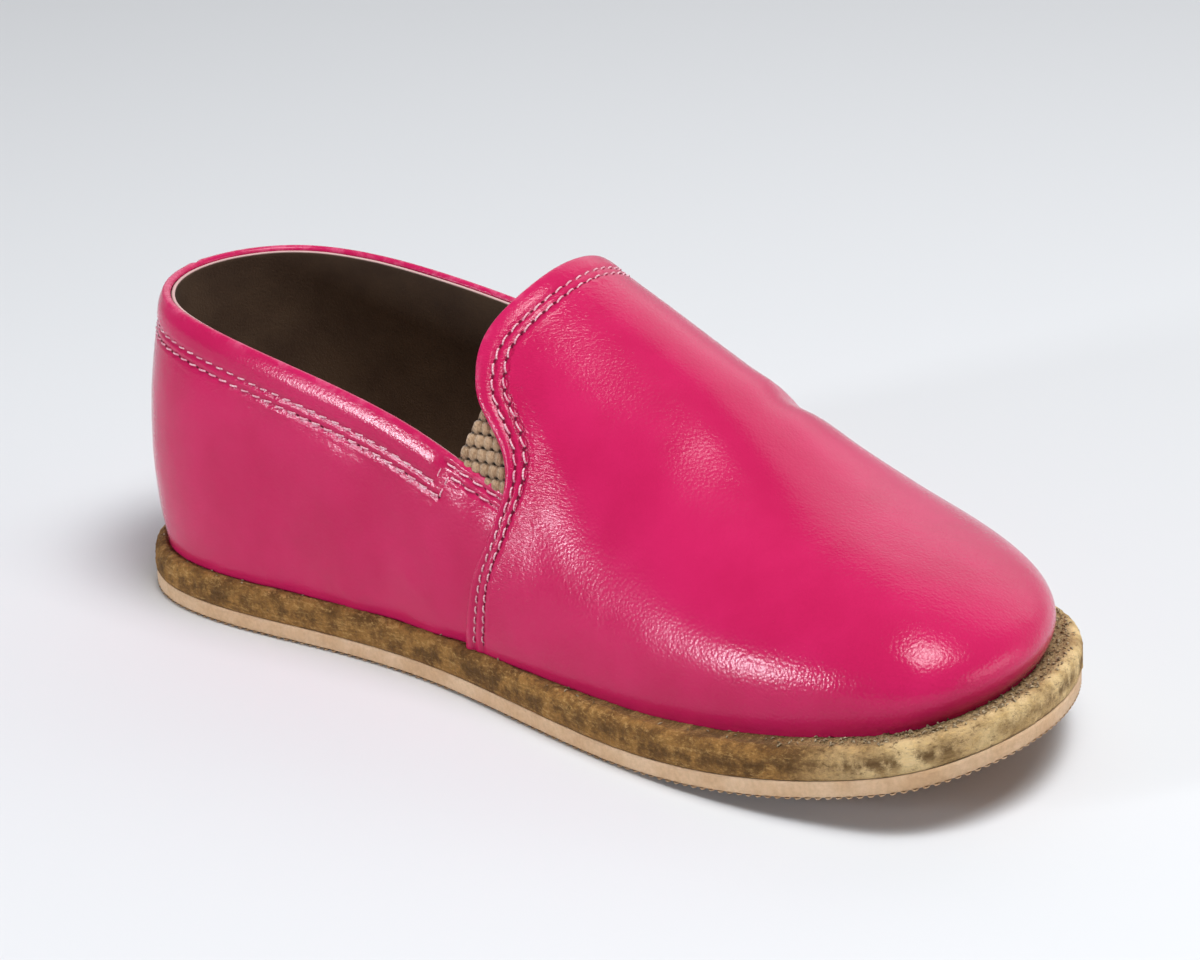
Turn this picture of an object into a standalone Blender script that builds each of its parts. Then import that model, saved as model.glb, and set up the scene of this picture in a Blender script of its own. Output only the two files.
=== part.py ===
"""Left shoe of a child's pair of slip-on leather shoes with an elastic gore each side of the tongue.

The sole lies along Y with the toe to -Y, and the inner side of the foot faces -X. Outlines are worked out
in millimetres as (along, medial): the distance from the back of the heel, and the distance from the
middle line towards the inner side. The last is a family of ribs. Each rib leaves the feather line, where
the upper meets the sole, and ends on the ridge line over the instep.
"""
import bmesh
import bpy
import numpy as np

MM = 0.001

# Driving sizes, in millimetres
LENGTH = 170.0          # sole, heel to toe
OUTSOLE = 3.0           # rubber
MIDSOLE = 4.8           # leather
INSOLE = 2.2            # leather footbed
WALL = 2.0              # upper, leather and lining together
GORE = 1.2              # woven elastic
GORE_SET_BACK = 0.4     # elastic below the face of the leather
GAP = 0.3               # between pieces that touch
SPRING_START = 105.0    # along, where the toe starts to rise
SPRING = 10.3           # rise of the sole at the toe tip

# Counts of steps
HALF_STEPS = 44         # along each side of the outline, heel to toe
LADDER_STEPS = 4        # across the flat faces of a sole piece
RIB_STEPS = 19          # up the upper, feather line to ridge
COLLAR_STEPS = 16       # along one side of the collar
TONGUE_STEPS = 14       # up the rear edge of the vamp

# Sole outline: along, medial, lateral
SOLE_OUTLINE = [
    (3.0, 8.6, 16.0),
    (11.0, 17.8, 25.6),
    (25.0, 22.4, 30.8),
    (48.0, 22.9, 31.6),
    (70.0, 24.7, 32.7),
    (90.0, 29.8, 35.4),
    (108.0, 34.6, 37.6),
    (124.0, 37.4, 38.0),
    (138.0, 38.1, 34.2),
    (150.0, 37.1, 26.8),
    (160.0, 34.1, 16.4),
    (167.0, 26.0, 3.4),
]
HEEL_TIP = (0.0, -4.0)
TOE_TIP = (LENGTH, 14.6)

# Edge profiles of the sole pieces, bottom to top: height, inset from the outline
OUTSOLE_EDGE = [(0.0, 0.5), (0.5, 0.1), (OUTSOLE - GAP, 0.1)]
MIDSOLE_EDGE = [
    (OUTSOLE, 0.6),
    (OUTSOLE + 0.6, 0.0),
    (OUTSOLE + 3.2, 0.0),
    (OUTSOLE + 4.3, 0.6),
    (OUTSOLE + MIDSOLE, 1.6),
]

# Feather line: along, inset from the sole outline
FEATHER = [(0.0, 2.4), (20.0, 2.4), (60.0, 2.0), (85.0, 2.2), (110.0, 4.0), (135.0, 5.0), (LENGTH, 5.2)]

# Ridge of the last: along, height, medial shift, bulge of the wall, wall fullness, crown fullness
LAST = [
    (22.0, 74.0, -4.0, 1.8, 0.45, 0.26),
    (45.0, 72.0, -4.0, 2.6, 0.45, 0.20),
    (65.0, 66.5, -4.0, 2.4, 0.42, 0.16),
    (80.0, 60.3, -4.0, 1.6, 0.40, 0.20),
    (95.0, 53.3, -3.0, 1.0, 0.38, 0.32),
    (110.0, 45.9, -0.4, 1.0, 0.40, 0.40),
    (126.0, 36.7, 4.7, 1.2, 0.51, 0.38),
    (142.0, 32.1, 11.8, 1.8, 0.47, 0.23),
]
RIDGE_STRAIGHT = (48.0, 100.0)      # ribs between these stand square across the foot

# Topline from the side: along, height
COLLAR = [(-8.0, 50.6), (5.0, 50.6), (20.0, 49.4), (40.0, 46.4), (58.0, 42.8), (67.0, 40.3), (75.5, 37.2)]
GORE_FOOT = (84.8, 33.8)
TONGUE = [(77.4, 44.6), (75.6, 49.0), (75.0, 53.4), (76.0, 57.0), (77.6, 60.0), (79.6, 66.0)]

# Allowances, in millimetres
CLEAR = 60.0            # how far a cutter reaches past the shoe
SKIRT = 2.0             # strip below the feather line, trimmed off level with the midsole
MERGE = 0.02            # points of two ribs that meet on the ridge


def spline(table, column, at, slope=False):
    """Natural cubic spline through one column of a table, read at positions along its first column."""
    x = np.array([row[0] for row in table])
    y = np.array([row[column] for row in table])
    step = np.diff(x)
    rise = np.diff(y) / step
    size = len(x)
    system = np.eye(size)
    target = np.zeros(size)
    for i in range(1, size - 1):
        system[i, i - 1:i + 2] = step[i - 1], 2 * (step[i - 1] + step[i]), step[i]
        target[i] = 6 * (rise[i] - rise[i - 1])
    bend = np.linalg.solve(system, target)
    at = np.clip(at, x[0], x[-1])
    k = np.clip(np.searchsorted(x, at, side="right") - 1, 0, size - 2)
    width, a, b = step[k], x[k + 1] - at, at - x[k]
    start, end = y[k] / width - bend[k] * width / 6, y[k + 1] / width - bend[k + 1] * width / 6
    if slope:
        return (bend[k + 1] * b**2 - bend[k] * a**2) / (2 * width) - start + end
    return (bend[k] * a**3 + bend[k + 1] * b**3) / (6 * width) + start * a + end * b


def closed_spline(points, marks, steps):
    """Periodic cubic spline through points, with equal steps of chord between each two marked points."""
    size = len(points)
    following = np.roll(points, -1, axis=0)
    chord = np.linalg.norm(following - points, axis=1)
    length = np.concatenate([[0.0], np.cumsum(chord)])
    rise = (following - points) / chord[:, None]
    system = np.zeros((size, size))
    for i in range(size):
        system[i, i - 1] += chord[i - 1]
        system[i, i] += 2 * (chord[i - 1] + chord[i])
        system[i, (i + 1) % size] += chord[i]
    bend = np.linalg.solve(system, 6 * (rise - np.roll(rise, 1, axis=0)))
    stops = [length[mark] for mark in marks] + [length[-1]]
    spans = zip(stops, stops[1:])
    at = np.concatenate([np.linspace(low, high, steps, endpoint=False) for low, high in spans])
    k = np.searchsorted(length, at, side="right") - 1
    width, a, b = chord[k][:, None], (length[k + 1] - at)[:, None], (at - length[k])[:, None]
    near, far = bend[k], np.roll(bend, -1, axis=0)[k]
    start, end = points[k] / width - near * width / 6, following[k] / width - far * width / 6
    return (near * a**3 + far * b**3) / (6 * width) + start * a + end * b


def sole_outline():
    """Edge of the sole as a ring: heel tip, inner side, toe tip, outer side; with its inward normals."""
    inner = [(along, medial) for along, medial, _ in SOLE_OUTLINE]
    outer = [(along, -lateral) for along, _, lateral in reversed(SOLE_OUTLINE)]
    points = np.array([HEEL_TIP, *inner, TOE_TIP, *outer])
    ring = closed_spline(points, (0, len(inner) + 1), HALF_STEPS)
    run = np.roll(ring, -1, axis=0) - np.roll(ring, 1, axis=0)
    run /= np.linalg.norm(run, axis=1)[:, None]
    return ring, np.stack([run[:, 1], -run[:, 0]], axis=1)


RING, INWARD = sole_outline()
MIDDLE = (RING[:, 1].max() + RING[:, 1].min()) / 2


def spring(along):
    """Rise of the sole above the ground."""
    return SPRING * (np.clip(along - SPRING_START, 0.0, None) / (LENGTH - SPRING_START)) ** 2


def place(along, medial, height):
    """World position, in metres, of a point given by the shoe's own measures."""
    return np.stack([MIDDLE - medial, LENGTH / 2 - along, height], axis=-1) * MM


def inset_ring(inset, height):
    """Ring at an inset from the sole outline and a height above the sprung ground."""
    ring = RING + INWARD * np.broadcast_to(inset, len(RING))[:, None]
    return place(ring[:, 0], ring[:, 1], spring(ring[:, 0]) + height)


def feather_inset(extra=0.0):
    return spline(FEATHER, 1, RING[:, 0]) + extra


def ribs(row_fractions):
    """Outer face of the last: one rib for each point of the outline, one row for each fraction."""
    feather = RING + INWARD * feather_inset()[:, None]
    paired = np.roll(feather[::-1, 0], 1)
    along = (feather[:, 0] + paired) / 2
    start, end = RIDGE_STRAIGHT
    heel_pull = (LAST[0][0] - along.min()) / (start - along.min()) ** 2
    toe_pull = (along.max() - LAST[-1][0]) / (along.max() - end) ** 2
    ridge = along + heel_pull * np.clip(start - along, 0, None) ** 2
    ridge -= toe_pull * np.clip(along - end, 0, None) ** 2
    top, shift, bulge, wall, crown = (spline(LAST, column, ridge) for column in range(1, 6))
    reach = np.stack([ridge, shift], axis=1) - feather
    foot = OUTSOLE + MIDSOLE + GAP + spring(feather[:, 0])
    shoulder = foot + wall * (top - foot)
    brow = top - spline(LAST, 1, ridge, slope=True) * reach[:, 0] * (1 - crown)
    lean = -3 * bulge / np.linalg.norm(reach, axis=1)
    grid = []
    for v in row_fractions:
        first, second, third, last = (1 - v) ** 3, 3 * v * (1 - v) ** 2, 3 * v * v * (1 - v), v**3
        across = second * lean + third * crown + last
        height = first * foot + second * shoulder + third * brow + last * top
        flat = feather + reach * across[:, None]
        grid.append(place(flat[:, 0], flat[:, 1], height))
    return np.array(grid)


def mesh_object(name, bm, collection):
    bmesh.ops.recalc_face_normals(bm, faces=bm.faces)
    mesh = bpy.data.meshes.new(name)
    bm.to_mesh(mesh)
    bm.free()
    item = bpy.data.objects.new(name, mesh)
    collection.objects.link(item)
    return item


def finish(item, color, roughness, sharp=30.0):
    """Smooth shading and the piece's own material."""
    item.data.shade_smooth()
    item.data.set_sharp_from_angle(angle=np.radians(sharp))
    material = bpy.data.materials.new(item.name)
    material.use_nodes = True
    shader = material.node_tree.nodes["Principled BSDF"]
    shader.inputs["Base Color"].default_value = (*color, 1.0)
    shader.inputs["Roughness"].default_value = roughness
    shader.inputs["Metallic"].default_value = 0.0
    item.data.materials.append(material)


def bridge(bm, lower, upper):
    """Quads between two closed rings of vertices."""
    for i in range(len(lower)):
        bm.faces.new((lower[i - 1], lower[i], upper[i], upper[i - 1]))


def ladder_face(bm, ring):
    """Face that follows the toe spring: rungs from the inner side of a ring to its outer side."""
    count = len(ring)
    rungs = []
    for i in range(1, HALF_STEPS):
        inner, outer = ring[i], ring[count - i]
        steps = [inner.co.lerp(outer.co, j / LADDER_STEPS) for j in range(1, LADDER_STEPS)]
        for co in steps:
            co.z = ring_height(co, inner, outer)
        rungs.append([inner, *(bm.verts.new(co) for co in steps), outer])
    for tip, rung in ((ring[0], rungs[0]), (ring[HALF_STEPS], rungs[-1])):
        for a, b in zip(rung, rung[1:]):
            bm.faces.new((tip, a, b))
    for near, far in zip(rungs, rungs[1:]):
        for j in range(LADDER_STEPS):
            bm.faces.new((near[j], near[j + 1], far[j + 1], far[j]))


def ring_height(co, inner, outer):
    """Height on a sprung face, level with its ring: the rise at this point in place of the ring's."""
    base = inner.co.z - spring(LENGTH / 2 - inner.co.y / MM) * MM
    return base + spring(LENGTH / 2 - co.y / MM) * MM


def sole_piece(name, rings, collection):
    """Closed plate through rings listed bottom to top, with sprung faces below and above."""
    bm = bmesh.new()
    levels = [[bm.verts.new(point) for point in ring] for ring in rings]
    for lower, upper in zip(levels, levels[1:]):
        bridge(bm, lower, upper)
    ladder_face(bm, levels[0])
    ladder_face(bm, levels[-1])
    return mesh_object(name, bm, collection)


def last_shell(name, thickness, set_back, collection):
    """Shell over the whole last with its outer face set back from it, open underneath."""
    grid = ribs(np.linspace(0.0, 1.0, RIB_STEPS + 1))
    skirt = grid[0] - np.array([0.0, 0.0, SKIRT * MM])
    bm = bmesh.new()
    rows = [[bm.verts.new(point) for point in row] for row in [skirt, *grid]]
    for lower, upper in zip(rows, rows[1:]):
        bridge(bm, lower, upper)
    bmesh.ops.remove_doubles(bm, verts=bm.verts, dist=MERGE * MM)
    shell = mesh_object(name, bm, collection)
    solid = shell.modifiers.new("wall", "SOLIDIFY")
    solid.thickness = thickness * MM
    solid.offset = -1.0
    solid.use_even_offset = True
    return shell


def side_cutter(name, profile, low, high, collection):
    """Prism with the given side outline (along, height), from medial low to medial high."""
    bm = bmesh.new()
    near = [bm.verts.new(place(along, low, height)) for along, height in profile]
    far = [bm.verts.new(place(along, high, height)) for along, height in profile]
    bm.faces.new(near)
    bm.faces.new(far)
    bridge(bm, near, far)
    return wire(mesh_object(name, bm, collection))


def wire(cutter):
    cutter.hide_render = True
    cutter.display_type = "WIRE"
    return cutter


def boolean(item, cutter, operation):
    cut = item.modifiers.new(cutter.name, "BOOLEAN")
    cut.operation = operation
    cut.solver = "EXACT"
    cut.object = cutter


def collar_line(steps):
    along = np.linspace(COLLAR[0][0], COLLAR[-1][0], steps)
    return list(zip(along, spline(COLLAR, 1, along)))


def tongue_line(steps):
    """Rear edge of the vamp, read by height because it leans back and then forward."""
    by_height = [(height, along) for along, height in TONGUE]
    height = np.linspace(by_height[0][0], by_height[-1][0], steps)
    return list(zip(spline(by_height, 1, height), height))


def topline():
    """Side outline of everything above the collar, the gores' notches and the tongue."""
    front, top = TONGUE[-1][0], TONGUE[-1][1] + CLEAR
    rear, collar = COLLAR[0][0] - CLEAR, COLLAR[0][1]
    above = [(front, top), (rear, top), (rear, collar)]
    return [*collar_line(COLLAR_STEPS), GORE_FOOT, *tongue_line(TONGUE_STEPS), *above]


def gore_outline():
    """The notch between collar end, gore foot and tongue, a gap smaller where the leather meets it."""
    rear, foot, top = np.array(COLLAR[-1]), np.array(GORE_FOOT), np.array(TONGUE[0])
    corners = [rear, foot, top]
    gaps = [GAP, GAP, 0.0]
    lines = []
    for a, b, gap in zip(corners, corners[1:] + corners[:1], gaps):
        run = (b - a) / np.linalg.norm(b - a)
        lines.append((a + np.array([-run[1], run[0]]) * gap, run))
    outline = []
    for (p, d), (q, e) in zip([lines[-1], *lines], lines):
        reach = np.linalg.solve(np.stack([d, -e], axis=1), q - p)[0]
        outline.append(tuple(p + d * reach))
    return outline


def main():
    for item in list(bpy.data.objects):
        bpy.data.objects.remove(item, do_unlink=True)
    shoe = bpy.data.collections.new("slip_on_shoe")
    cutters = bpy.data.collections.new("cutters")
    for collection in (shoe, cutters):
        bpy.context.scene.collection.children.link(collection)

    outsole = sole_piece("outsole", [inset_ring(inset, height) for height, inset in OUTSOLE_EDGE], shoe)
    finish(outsole, (0.55, 0.33, 0.18), 0.45)
    midsole = sole_piece("midsole", [inset_ring(inset, height) for height, inset in MIDSOLE_EDGE], shoe)
    finish(midsole, (0.30, 0.18, 0.07), 0.85)

    seat = OUTSOLE + MIDSOLE + GAP
    footbed = feather_inset(WALL + 2 * GAP)
    insole = sole_piece("insole", [inset_ring(footbed, seat), inset_ring(footbed, seat + INSOLE)], shoe)
    finish(insole, (0.30, 0.20, 0.12), 0.8)

    upper = last_shell("upper", WALL, 0.0, shoe)
    below = [inset_ring(-CLEAR / 4, height) for height in (-CLEAR, seat)]
    boolean(upper, wire(sole_piece("ground", below, cutters)), "DIFFERENCE")
    boolean(upper, side_cutter("topline", topline(), -CLEAR, CLEAR, cutters), "DIFFERENCE")
    finish(upper, (0.66, 0.02, 0.14), 0.35)

    for name, low, high in (("gore_medial", 0.0, CLEAR), ("gore_lateral", -CLEAR, 0.0)):
        gore = last_shell(name, GORE, GORE_SET_BACK, shoe)
        boolean(gore, side_cutter(name + "_outline", gore_outline(), low, high, cutters), "INTERSECT")
        finish(gore, (0.55, 0.42, 0.28), 0.9)


main()
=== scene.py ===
import bpy
import numpy as np
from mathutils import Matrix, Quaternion, Vector, kdtree, noise


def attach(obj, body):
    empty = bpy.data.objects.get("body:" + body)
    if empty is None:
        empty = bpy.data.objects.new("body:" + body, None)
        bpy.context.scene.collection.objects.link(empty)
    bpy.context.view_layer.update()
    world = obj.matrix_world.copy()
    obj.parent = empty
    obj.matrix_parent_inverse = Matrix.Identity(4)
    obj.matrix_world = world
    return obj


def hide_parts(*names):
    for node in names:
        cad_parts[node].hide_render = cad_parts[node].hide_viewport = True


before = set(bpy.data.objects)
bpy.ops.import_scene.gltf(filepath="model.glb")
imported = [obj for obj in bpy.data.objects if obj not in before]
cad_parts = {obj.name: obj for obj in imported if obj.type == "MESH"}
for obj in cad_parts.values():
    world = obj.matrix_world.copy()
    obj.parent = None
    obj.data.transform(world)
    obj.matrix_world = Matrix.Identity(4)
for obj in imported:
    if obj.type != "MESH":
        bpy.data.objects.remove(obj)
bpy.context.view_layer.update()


# ------------------------------------------------------------------------------------------- studio
# A plain pale ground that fades into the backdrop, under soft light: a narrow window panel low on the
# inner side of the shoe, a wide lamp overhead with a smaller one at its middle, a pale wall behind and a
# weak fill in front. The camera stands off the inner side, in front and a little above.

MM = 0.001
GROUND = (0.70, 0.70, 0.70)
GROUND_RADIUS = 1.3
GROUND_FADE = (0.5, 1.2)    # distances between which the ground fades into the backdrop
BACKDROP = (0.80, 0.815, 0.84)
FAR_SIDE = (0.54, 0.555, 0.58)
NEAR_SIDE = (0.10, 0.10, 0.10)
ZENITH = (0.12, 0.125, 0.135)
ZENITH_FROM = 0.85          # height, on a sphere of 1, from which the sky has the zenith's colour
FAR_AZIMUTH = 85.0
FAR_RANGE = (-0.4, 0.8)     # from the near side to the far side, along the far azimuth
AIM = Vector((0.002, 0.0, 0.0275))      # point the camera looks at, in metres
CAMERA_AZIMUTH = -56.1
CAMERA_ELEVATION = 20.8
CAMERA_DISTANCE = 0.538
CAMERA_ROLL = -1.6
LENS = 104.0
# Lamps by name: azimuth, elevation, distance, width, height, power, colour
LIGHTS = {
    "window_panel": (-121.0, 12.0, 1.15, 0.14, 0.28, 7.0, (0.87, 0.92, 1.0)),
    "overhead_lamp": (-15.0, 70.0, 1.10, 0.66, 0.52, 9.6, (0.95, 0.97, 1.0)),
    "overhead_core": (-15.0, 70.0, 0.95, 0.30, 0.22, 2.6, (0.93, 0.96, 1.0)),
    "pale_wall": (112.0, 32.0, 1.60, 2.20, 1.10, 6.0, (0.97, 0.98, 1.0)),
    "front_fill": (20.0, 12.0, 1.50, 1.20, 0.50, 5.0, (1.0, 0.99, 0.99)),
}


def direction(azimuth, elevation):
    """Unit vector to an azimuth, 0 in front of the toe and negative to the inner side, and an elevation."""
    a, e = np.radians(azimuth), np.radians(elevation)
    return Vector((np.sin(a) * np.cos(e), -np.cos(a) * np.cos(e), np.sin(e)))


def link(item):
    bpy.context.scene.collection.objects.link(item)
    return item


class Field:
    """Output of a shader node that adds, multiplies and blends like a number."""

    def __init__(self, tree, socket):
        self.tree, self.socket = tree, socket

    def calc(self, operation, other=0.0):
        return add_node(self.tree, "Math", {0: self, 1: other}, operation=operation)

    def __add__(self, other):
        return self.calc("ADD", other)

    def __mul__(self, other):
        return self.calc("MULTIPLY", other)

    def ramp(self, low, high, to_low=0.0, to_high=1.0):
        """Taken smoothly from one range to another."""
        inputs = {"Value": self, "From Min": low, "From Max": high, "To Min": to_low, "To Max": to_high}
        return add_node(self.tree, "MapRange", inputs, interpolation_type="SMOOTHSTEP")

    def blend(self, a, b):
        """Colour a where the field is 0, and b where it is 1."""
        return add_node(self.tree, "Mix", {0: self, 6: a, 7: b}, 2, data_type="RGBA")

    def speckle(self, size, detail=2.0, roughness=0.5):
        """Noise of 0 to 1 over coordinates, with features of a size in their unit."""
        inputs = {"Vector": self, "Scale": 1.0 / size, "Detail": detail, "Roughness": roughness}
        return add_node(self.tree, "TexNoise", inputs)


def feed(tree, socket, value):
    """Link a field to a socket, or set the socket's own value."""
    if isinstance(value, Field):
        tree.links.new(value.socket, socket)
    else:
        socket.default_value = (*value, 1.0) if socket.type == "RGBA" else value


def add_node(tree, kind, inputs=None, output=0, **settings):
    """One output of a new shader node as a field, or all of them by name where output is None."""
    node = tree.nodes.new("ShaderNode" + kind)
    for name, value in settings.items():
        setattr(node, name, value)
    for name, value in (inputs or {}).items():
        feed(tree, node.inputs[name], value)
    if output is None:
        return {socket.name: Field(tree, socket) for socket in node.outputs}
    return Field(tree, node.outputs[output])


def layered(color, *layers):
    """Colour covered by layers, each given as its cover and its colour."""
    for cover, tone in layers:
        color = cover.blend(color, tone)
    return color


def new_material(name):
    material = bpy.data.materials.new(name)
    material.use_nodes = True
    return material


def dress(material, inputs, relief=None, depth=0.0, normals=("Normal",)):
    """Feed a material's shader, and its normals from a relief of a depth in millimetres."""
    tree = material.node_tree
    shader = tree.nodes["Principled BSDF"]
    if relief is not None:
        bump = add_node(tree, "Bump", {"Height": relief, "Distance": depth * MM, "Strength": 1.0})
        inputs = {**inputs, **{name: bump for name in normals}}
    for name, value in inputs.items():
        feed(tree, shader.inputs[name], value)
    return material


def ground_material():
    material = new_material("pale_ground")
    tree = material.node_tree
    where = add_node(tree, "TexCoord", output="Object")
    out = add_node(tree, "VectorMath", {0: where}, "Value", operation="LENGTH")
    return dress(material, {"Base Color": GROUND, "Roughness": 0.9, "Specular IOR Level": 0.2,
                            "Alpha": out.ramp(*GROUND_FADE, 1.0, 0.0)})


def make_world():
    world = bpy.data.worlds.new("studio")
    world.use_nodes = True
    tree = world.node_tree
    toward = add_node(tree, "TexCoord", output="Generated")
    up = add_node(tree, "SeparateXYZ", {"Vector": toward}, "Z")
    far = add_node(tree, "VectorMath", {0: toward, 1: tuple(direction(FAR_AZIMUTH, 0.0))}, "Value",
                   operation="DOT_PRODUCT")
    side = add_node(tree, "MapRange", {"Value": far, "From Min": FAR_RANGE[0], "From Max": FAR_RANGE[1]})
    seen = add_node(tree, "LightPath", output="Is Camera Ray")
    color = side.blend(NEAR_SIDE, FAR_SIDE)
    color = layered(color, (up.ramp(0.0, ZENITH_FROM), ZENITH), (seen, BACKDROP))
    feed(tree, tree.nodes["Background"].inputs["Color"], color)
    return world


def make_studio():
    scene = bpy.context.scene
    scene.view_settings.view_transform = "Standard"
    scene.world = make_world()

    bpy.ops.mesh.primitive_circle_add(vertices=96, radius=GROUND_RADIUS, fill_type="NGON")
    ground = bpy.context.object
    ground.name = "ground"
    ground.data.materials.append(ground_material())

    for name, (azimuth, elevation, distance, width, height, power, color) in LIGHTS.items():
        lamp = bpy.data.lights.new(name, "AREA")
        lamp.shape = "RECTANGLE"
        lamp.size, lamp.size_y = width, height
        lamp.energy, lamp.color = power, color
        item = link(bpy.data.objects.new(name, lamp))
        item.location = direction(azimuth, elevation) * distance
        item.rotation_euler = (-item.location).to_track_quat("-Z", "Y").to_euler()
        item.visible_camera = False

    camera = link(bpy.data.objects.new("camera", bpy.data.cameras.new("camera")))
    camera.data.lens = LENS
    camera.data.clip_start = 0.05
    outward = direction(CAMERA_AZIMUTH, CAMERA_ELEVATION)
    camera.location = AIM + outward * CAMERA_DISTANCE
    camera.rotation_mode = "QUATERNION"
    camera.rotation_quaternion = (-outward).to_track_quat("-Z", "Y")
    camera.rotation_quaternion.rotate(Quaternion(outward, np.radians(CAMERA_ROLL)))
    scene.camera = camera


make_studio()


# ------------------------------------------------------------------------------------------ outsole
# A thin sheet of natural rubber, cut to the outline of the foot and cemented under the leather. The edge
# is ground smooth. The underside is moulded with small domes in a hexagonal lattice, their tops painted
# pale as a glint.

LENGTH = 170.0
OUTSOLE = 3.0
MIDSOLE = 4.8
GAP = 0.3
SPRING_START = 105.0
SPRING = 10.3
HALF = 44                   # ring positions along each side of the outline, heel to toe
RING_FINE = 16              # fine steps in each ring position
# Outline of the sole: along from the heel, inner half width, outer half width
SOLE_OUTLINE = [
    (3, 8.6, 16), (11, 17.8, 25.6), (25, 22.4, 30.8), (48, 22.9, 31.6), (70, 24.7, 32.7), (90, 29.8, 35.4),
    (108, 34.6, 37.6), (124, 37.4, 38), (138, 38.1, 34.2), (150, 37.1, 26.8), (160, 34.1, 16.4), (167, 26, 3.4),
]
HEEL_TIP = (0.0, -4.0)
TOE_TIP = (LENGTH, 14.6)
OUTSOLE_RINGS = 352         # mesh columns round the edge, each side
OUTSOLE_BASE = 0.40         # height of the sheet between the domes
# Edge profile: height, inset from the outline
OUTSOLE_EDGE = [(0.40, 1.5), (0.405, 0.40), (0.48, 0.22), (0.75, 0.11), (1.4, 0.10), (2.2, 0.10), (2.86, 0.11),
                (2.965, 0.22)]
OUTSOLE_WAVE = (0.04, 2.5, 7.0)         # unevenness of the sheet: amount, size, seed
DOT_PITCH = 1.58
DOT_TURN = 8.0              # degrees between the rows of domes and straight across
DOT_RADIUS = 0.60
DOT_BORDER = 1.75           # the lattice ends here, and one row of domes follows the edge
DOT_RIM = 0.62
DOT_SIDES = 8
DOT_PROFILE = [(1.0, 0.0), (0.62, 0.78)]            # share of the radius, share of the height
DOT_ROOT = 0.02             # how deep a dome is sunk in the sheet
DOT_REACH = 75              # rows of the lattice each way
WAIST_PATCH = (83.0, 25.5, 9.0, 3.4)    # along, medial, half length, half width where the domes fade out
WORN_FLAT = 0.88            # how much of their height they lose there
RUBBER_EDGE = (0.680, 0.462, 0.282), (0.585, 0.365, 0.197)
RUBBER_TREAD = (0.420, 0.212, 0.086), (0.345, 0.165, 0.064)
RUBBER_HALO = (0.520, 0.225, 0.070)
# pale tops of the domes: a painted glint
RUBBER_GLINT = (0.640, 0.500, 0.340)
RUBBER_DIRT = (0.200, 0.105, 0.045)


def cubic(start, end, bends, width, to_end, from_start):
    """Points of the pieces of a cubic spline."""
    near, far = bends
    start, end = start / width - near * width / 6, end / width - far * width / 6
    return (near * to_end**3 + far * from_start**3) / (6 * width) + start * to_end + end * from_start


def spline(table, column, at, slope=False):
    """Natural cubic spline through one column of a table, read at positions along its first column."""
    x, y = np.array(table, float).T[[0, column]]
    step = np.diff(x)
    rise = np.diff(y) / step
    size = len(x)
    system, target = np.eye(size), np.zeros(size)
    for i in range(1, size - 1):
        system[i, i - 1:i + 2] = step[i - 1], 2 * (step[i - 1] + step[i]), step[i]
        target[i] = 6 * (rise[i] - rise[i - 1])
    bend = np.linalg.solve(system, target)
    at = np.clip(at, x[0], x[-1])
    k = np.clip(np.searchsorted(x, at, side="right") - 1, 0, size - 2)
    width, a, b = step[k], x[k + 1] - at, at - x[k]
    near, far = bend[k], bend[k + 1]
    if slope:
        return (far * b**2 - near * a**2) / (2 * width) + rise[k] - (far - near) * width / 6
    return cubic(y[k], y[k + 1], (near, far), width, a, b)


def closed_spline(points, marks, steps):
    """Periodic cubic spline through points, with equal steps of chord between each two marked points."""
    size = len(points)
    following = np.roll(points, -1, axis=0)
    chord = np.linalg.norm(following - points, axis=1)
    length = np.concatenate([[0.0], np.cumsum(chord)])
    rise = (following - points) / chord[:, None]
    system = np.zeros((size, size))
    for i in range(size):
        system[i, i - 1] += chord[i - 1]
        system[i, i] += 2 * (chord[i - 1] + chord[i])
        system[i, (i + 1) % size] += chord[i]
    bend = np.linalg.solve(system, 6 * (rise - np.roll(rise, 1, axis=0)))
    stops = [length[mark] for mark in marks] + [length[-1]]
    at = np.concatenate([np.linspace(low, high, steps, endpoint=False) for low, high in zip(stops, stops[1:])])
    k = np.searchsorted(length, at, side="right") - 1
    width, a, b = chord[k][:, None], (length[k + 1] - at)[:, None], (at - length[k])[:, None]
    return cubic(points[k], following[k], (bend[k], np.roll(bend, -1, axis=0)[k]), width, a, b)


def unit(vectors):
    return vectors / np.maximum(np.linalg.norm(vectors, axis=-1, keepdims=True), 1e-9)


def sole_outline():
    """Edge of the sole as a fine ring: heel tip, inner side, toe tip, outer side; and its inward normals."""
    inner = [(along, medial) for along, medial, _ in SOLE_OUTLINE]
    outer = [(along, -lateral) for along, _, lateral in reversed(SOLE_OUTLINE)]
    points = np.array([HEEL_TIP, *inner, TOE_TIP, *outer])
    ring = closed_spline(points, (0, len(inner) + 1), HALF * RING_FINE)
    run = unit(np.roll(ring, -1, axis=0) - np.roll(ring, 1, axis=0))
    return ring, np.stack([run[:, 1], -run[:, 0]], axis=1)


RING, INWARD = sole_outline()
MIDDLE = (RING[:, 1].max() + RING[:, 1].min()) / 2


def on_ring(values, position):
    """Values kept for the fine ring, read at ring positions from the heel tip, which may run past a turn."""
    at = np.mod(np.asarray(position, float) * RING_FINE, len(values))
    low = np.floor(at).astype(int) % len(values)
    part = (at - np.floor(at)).reshape(at.shape + (1,) * (values.ndim - 1))
    return values[low] * (1 - part) + values[(low + 1) % len(values)] * part


def spring(along):
    """Rise of the sole above the ground."""
    return SPRING * (np.clip(along - SPRING_START, 0.0, None) / (LENGTH - SPRING_START)) ** 2


def place(along, medial, height):
    """Point in millimetres in the frame, from the shoe's own measures."""
    return np.stack(np.broadcast_arrays(MIDDLE - medial, LENGTH / 2 - along, height), axis=-1)


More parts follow.
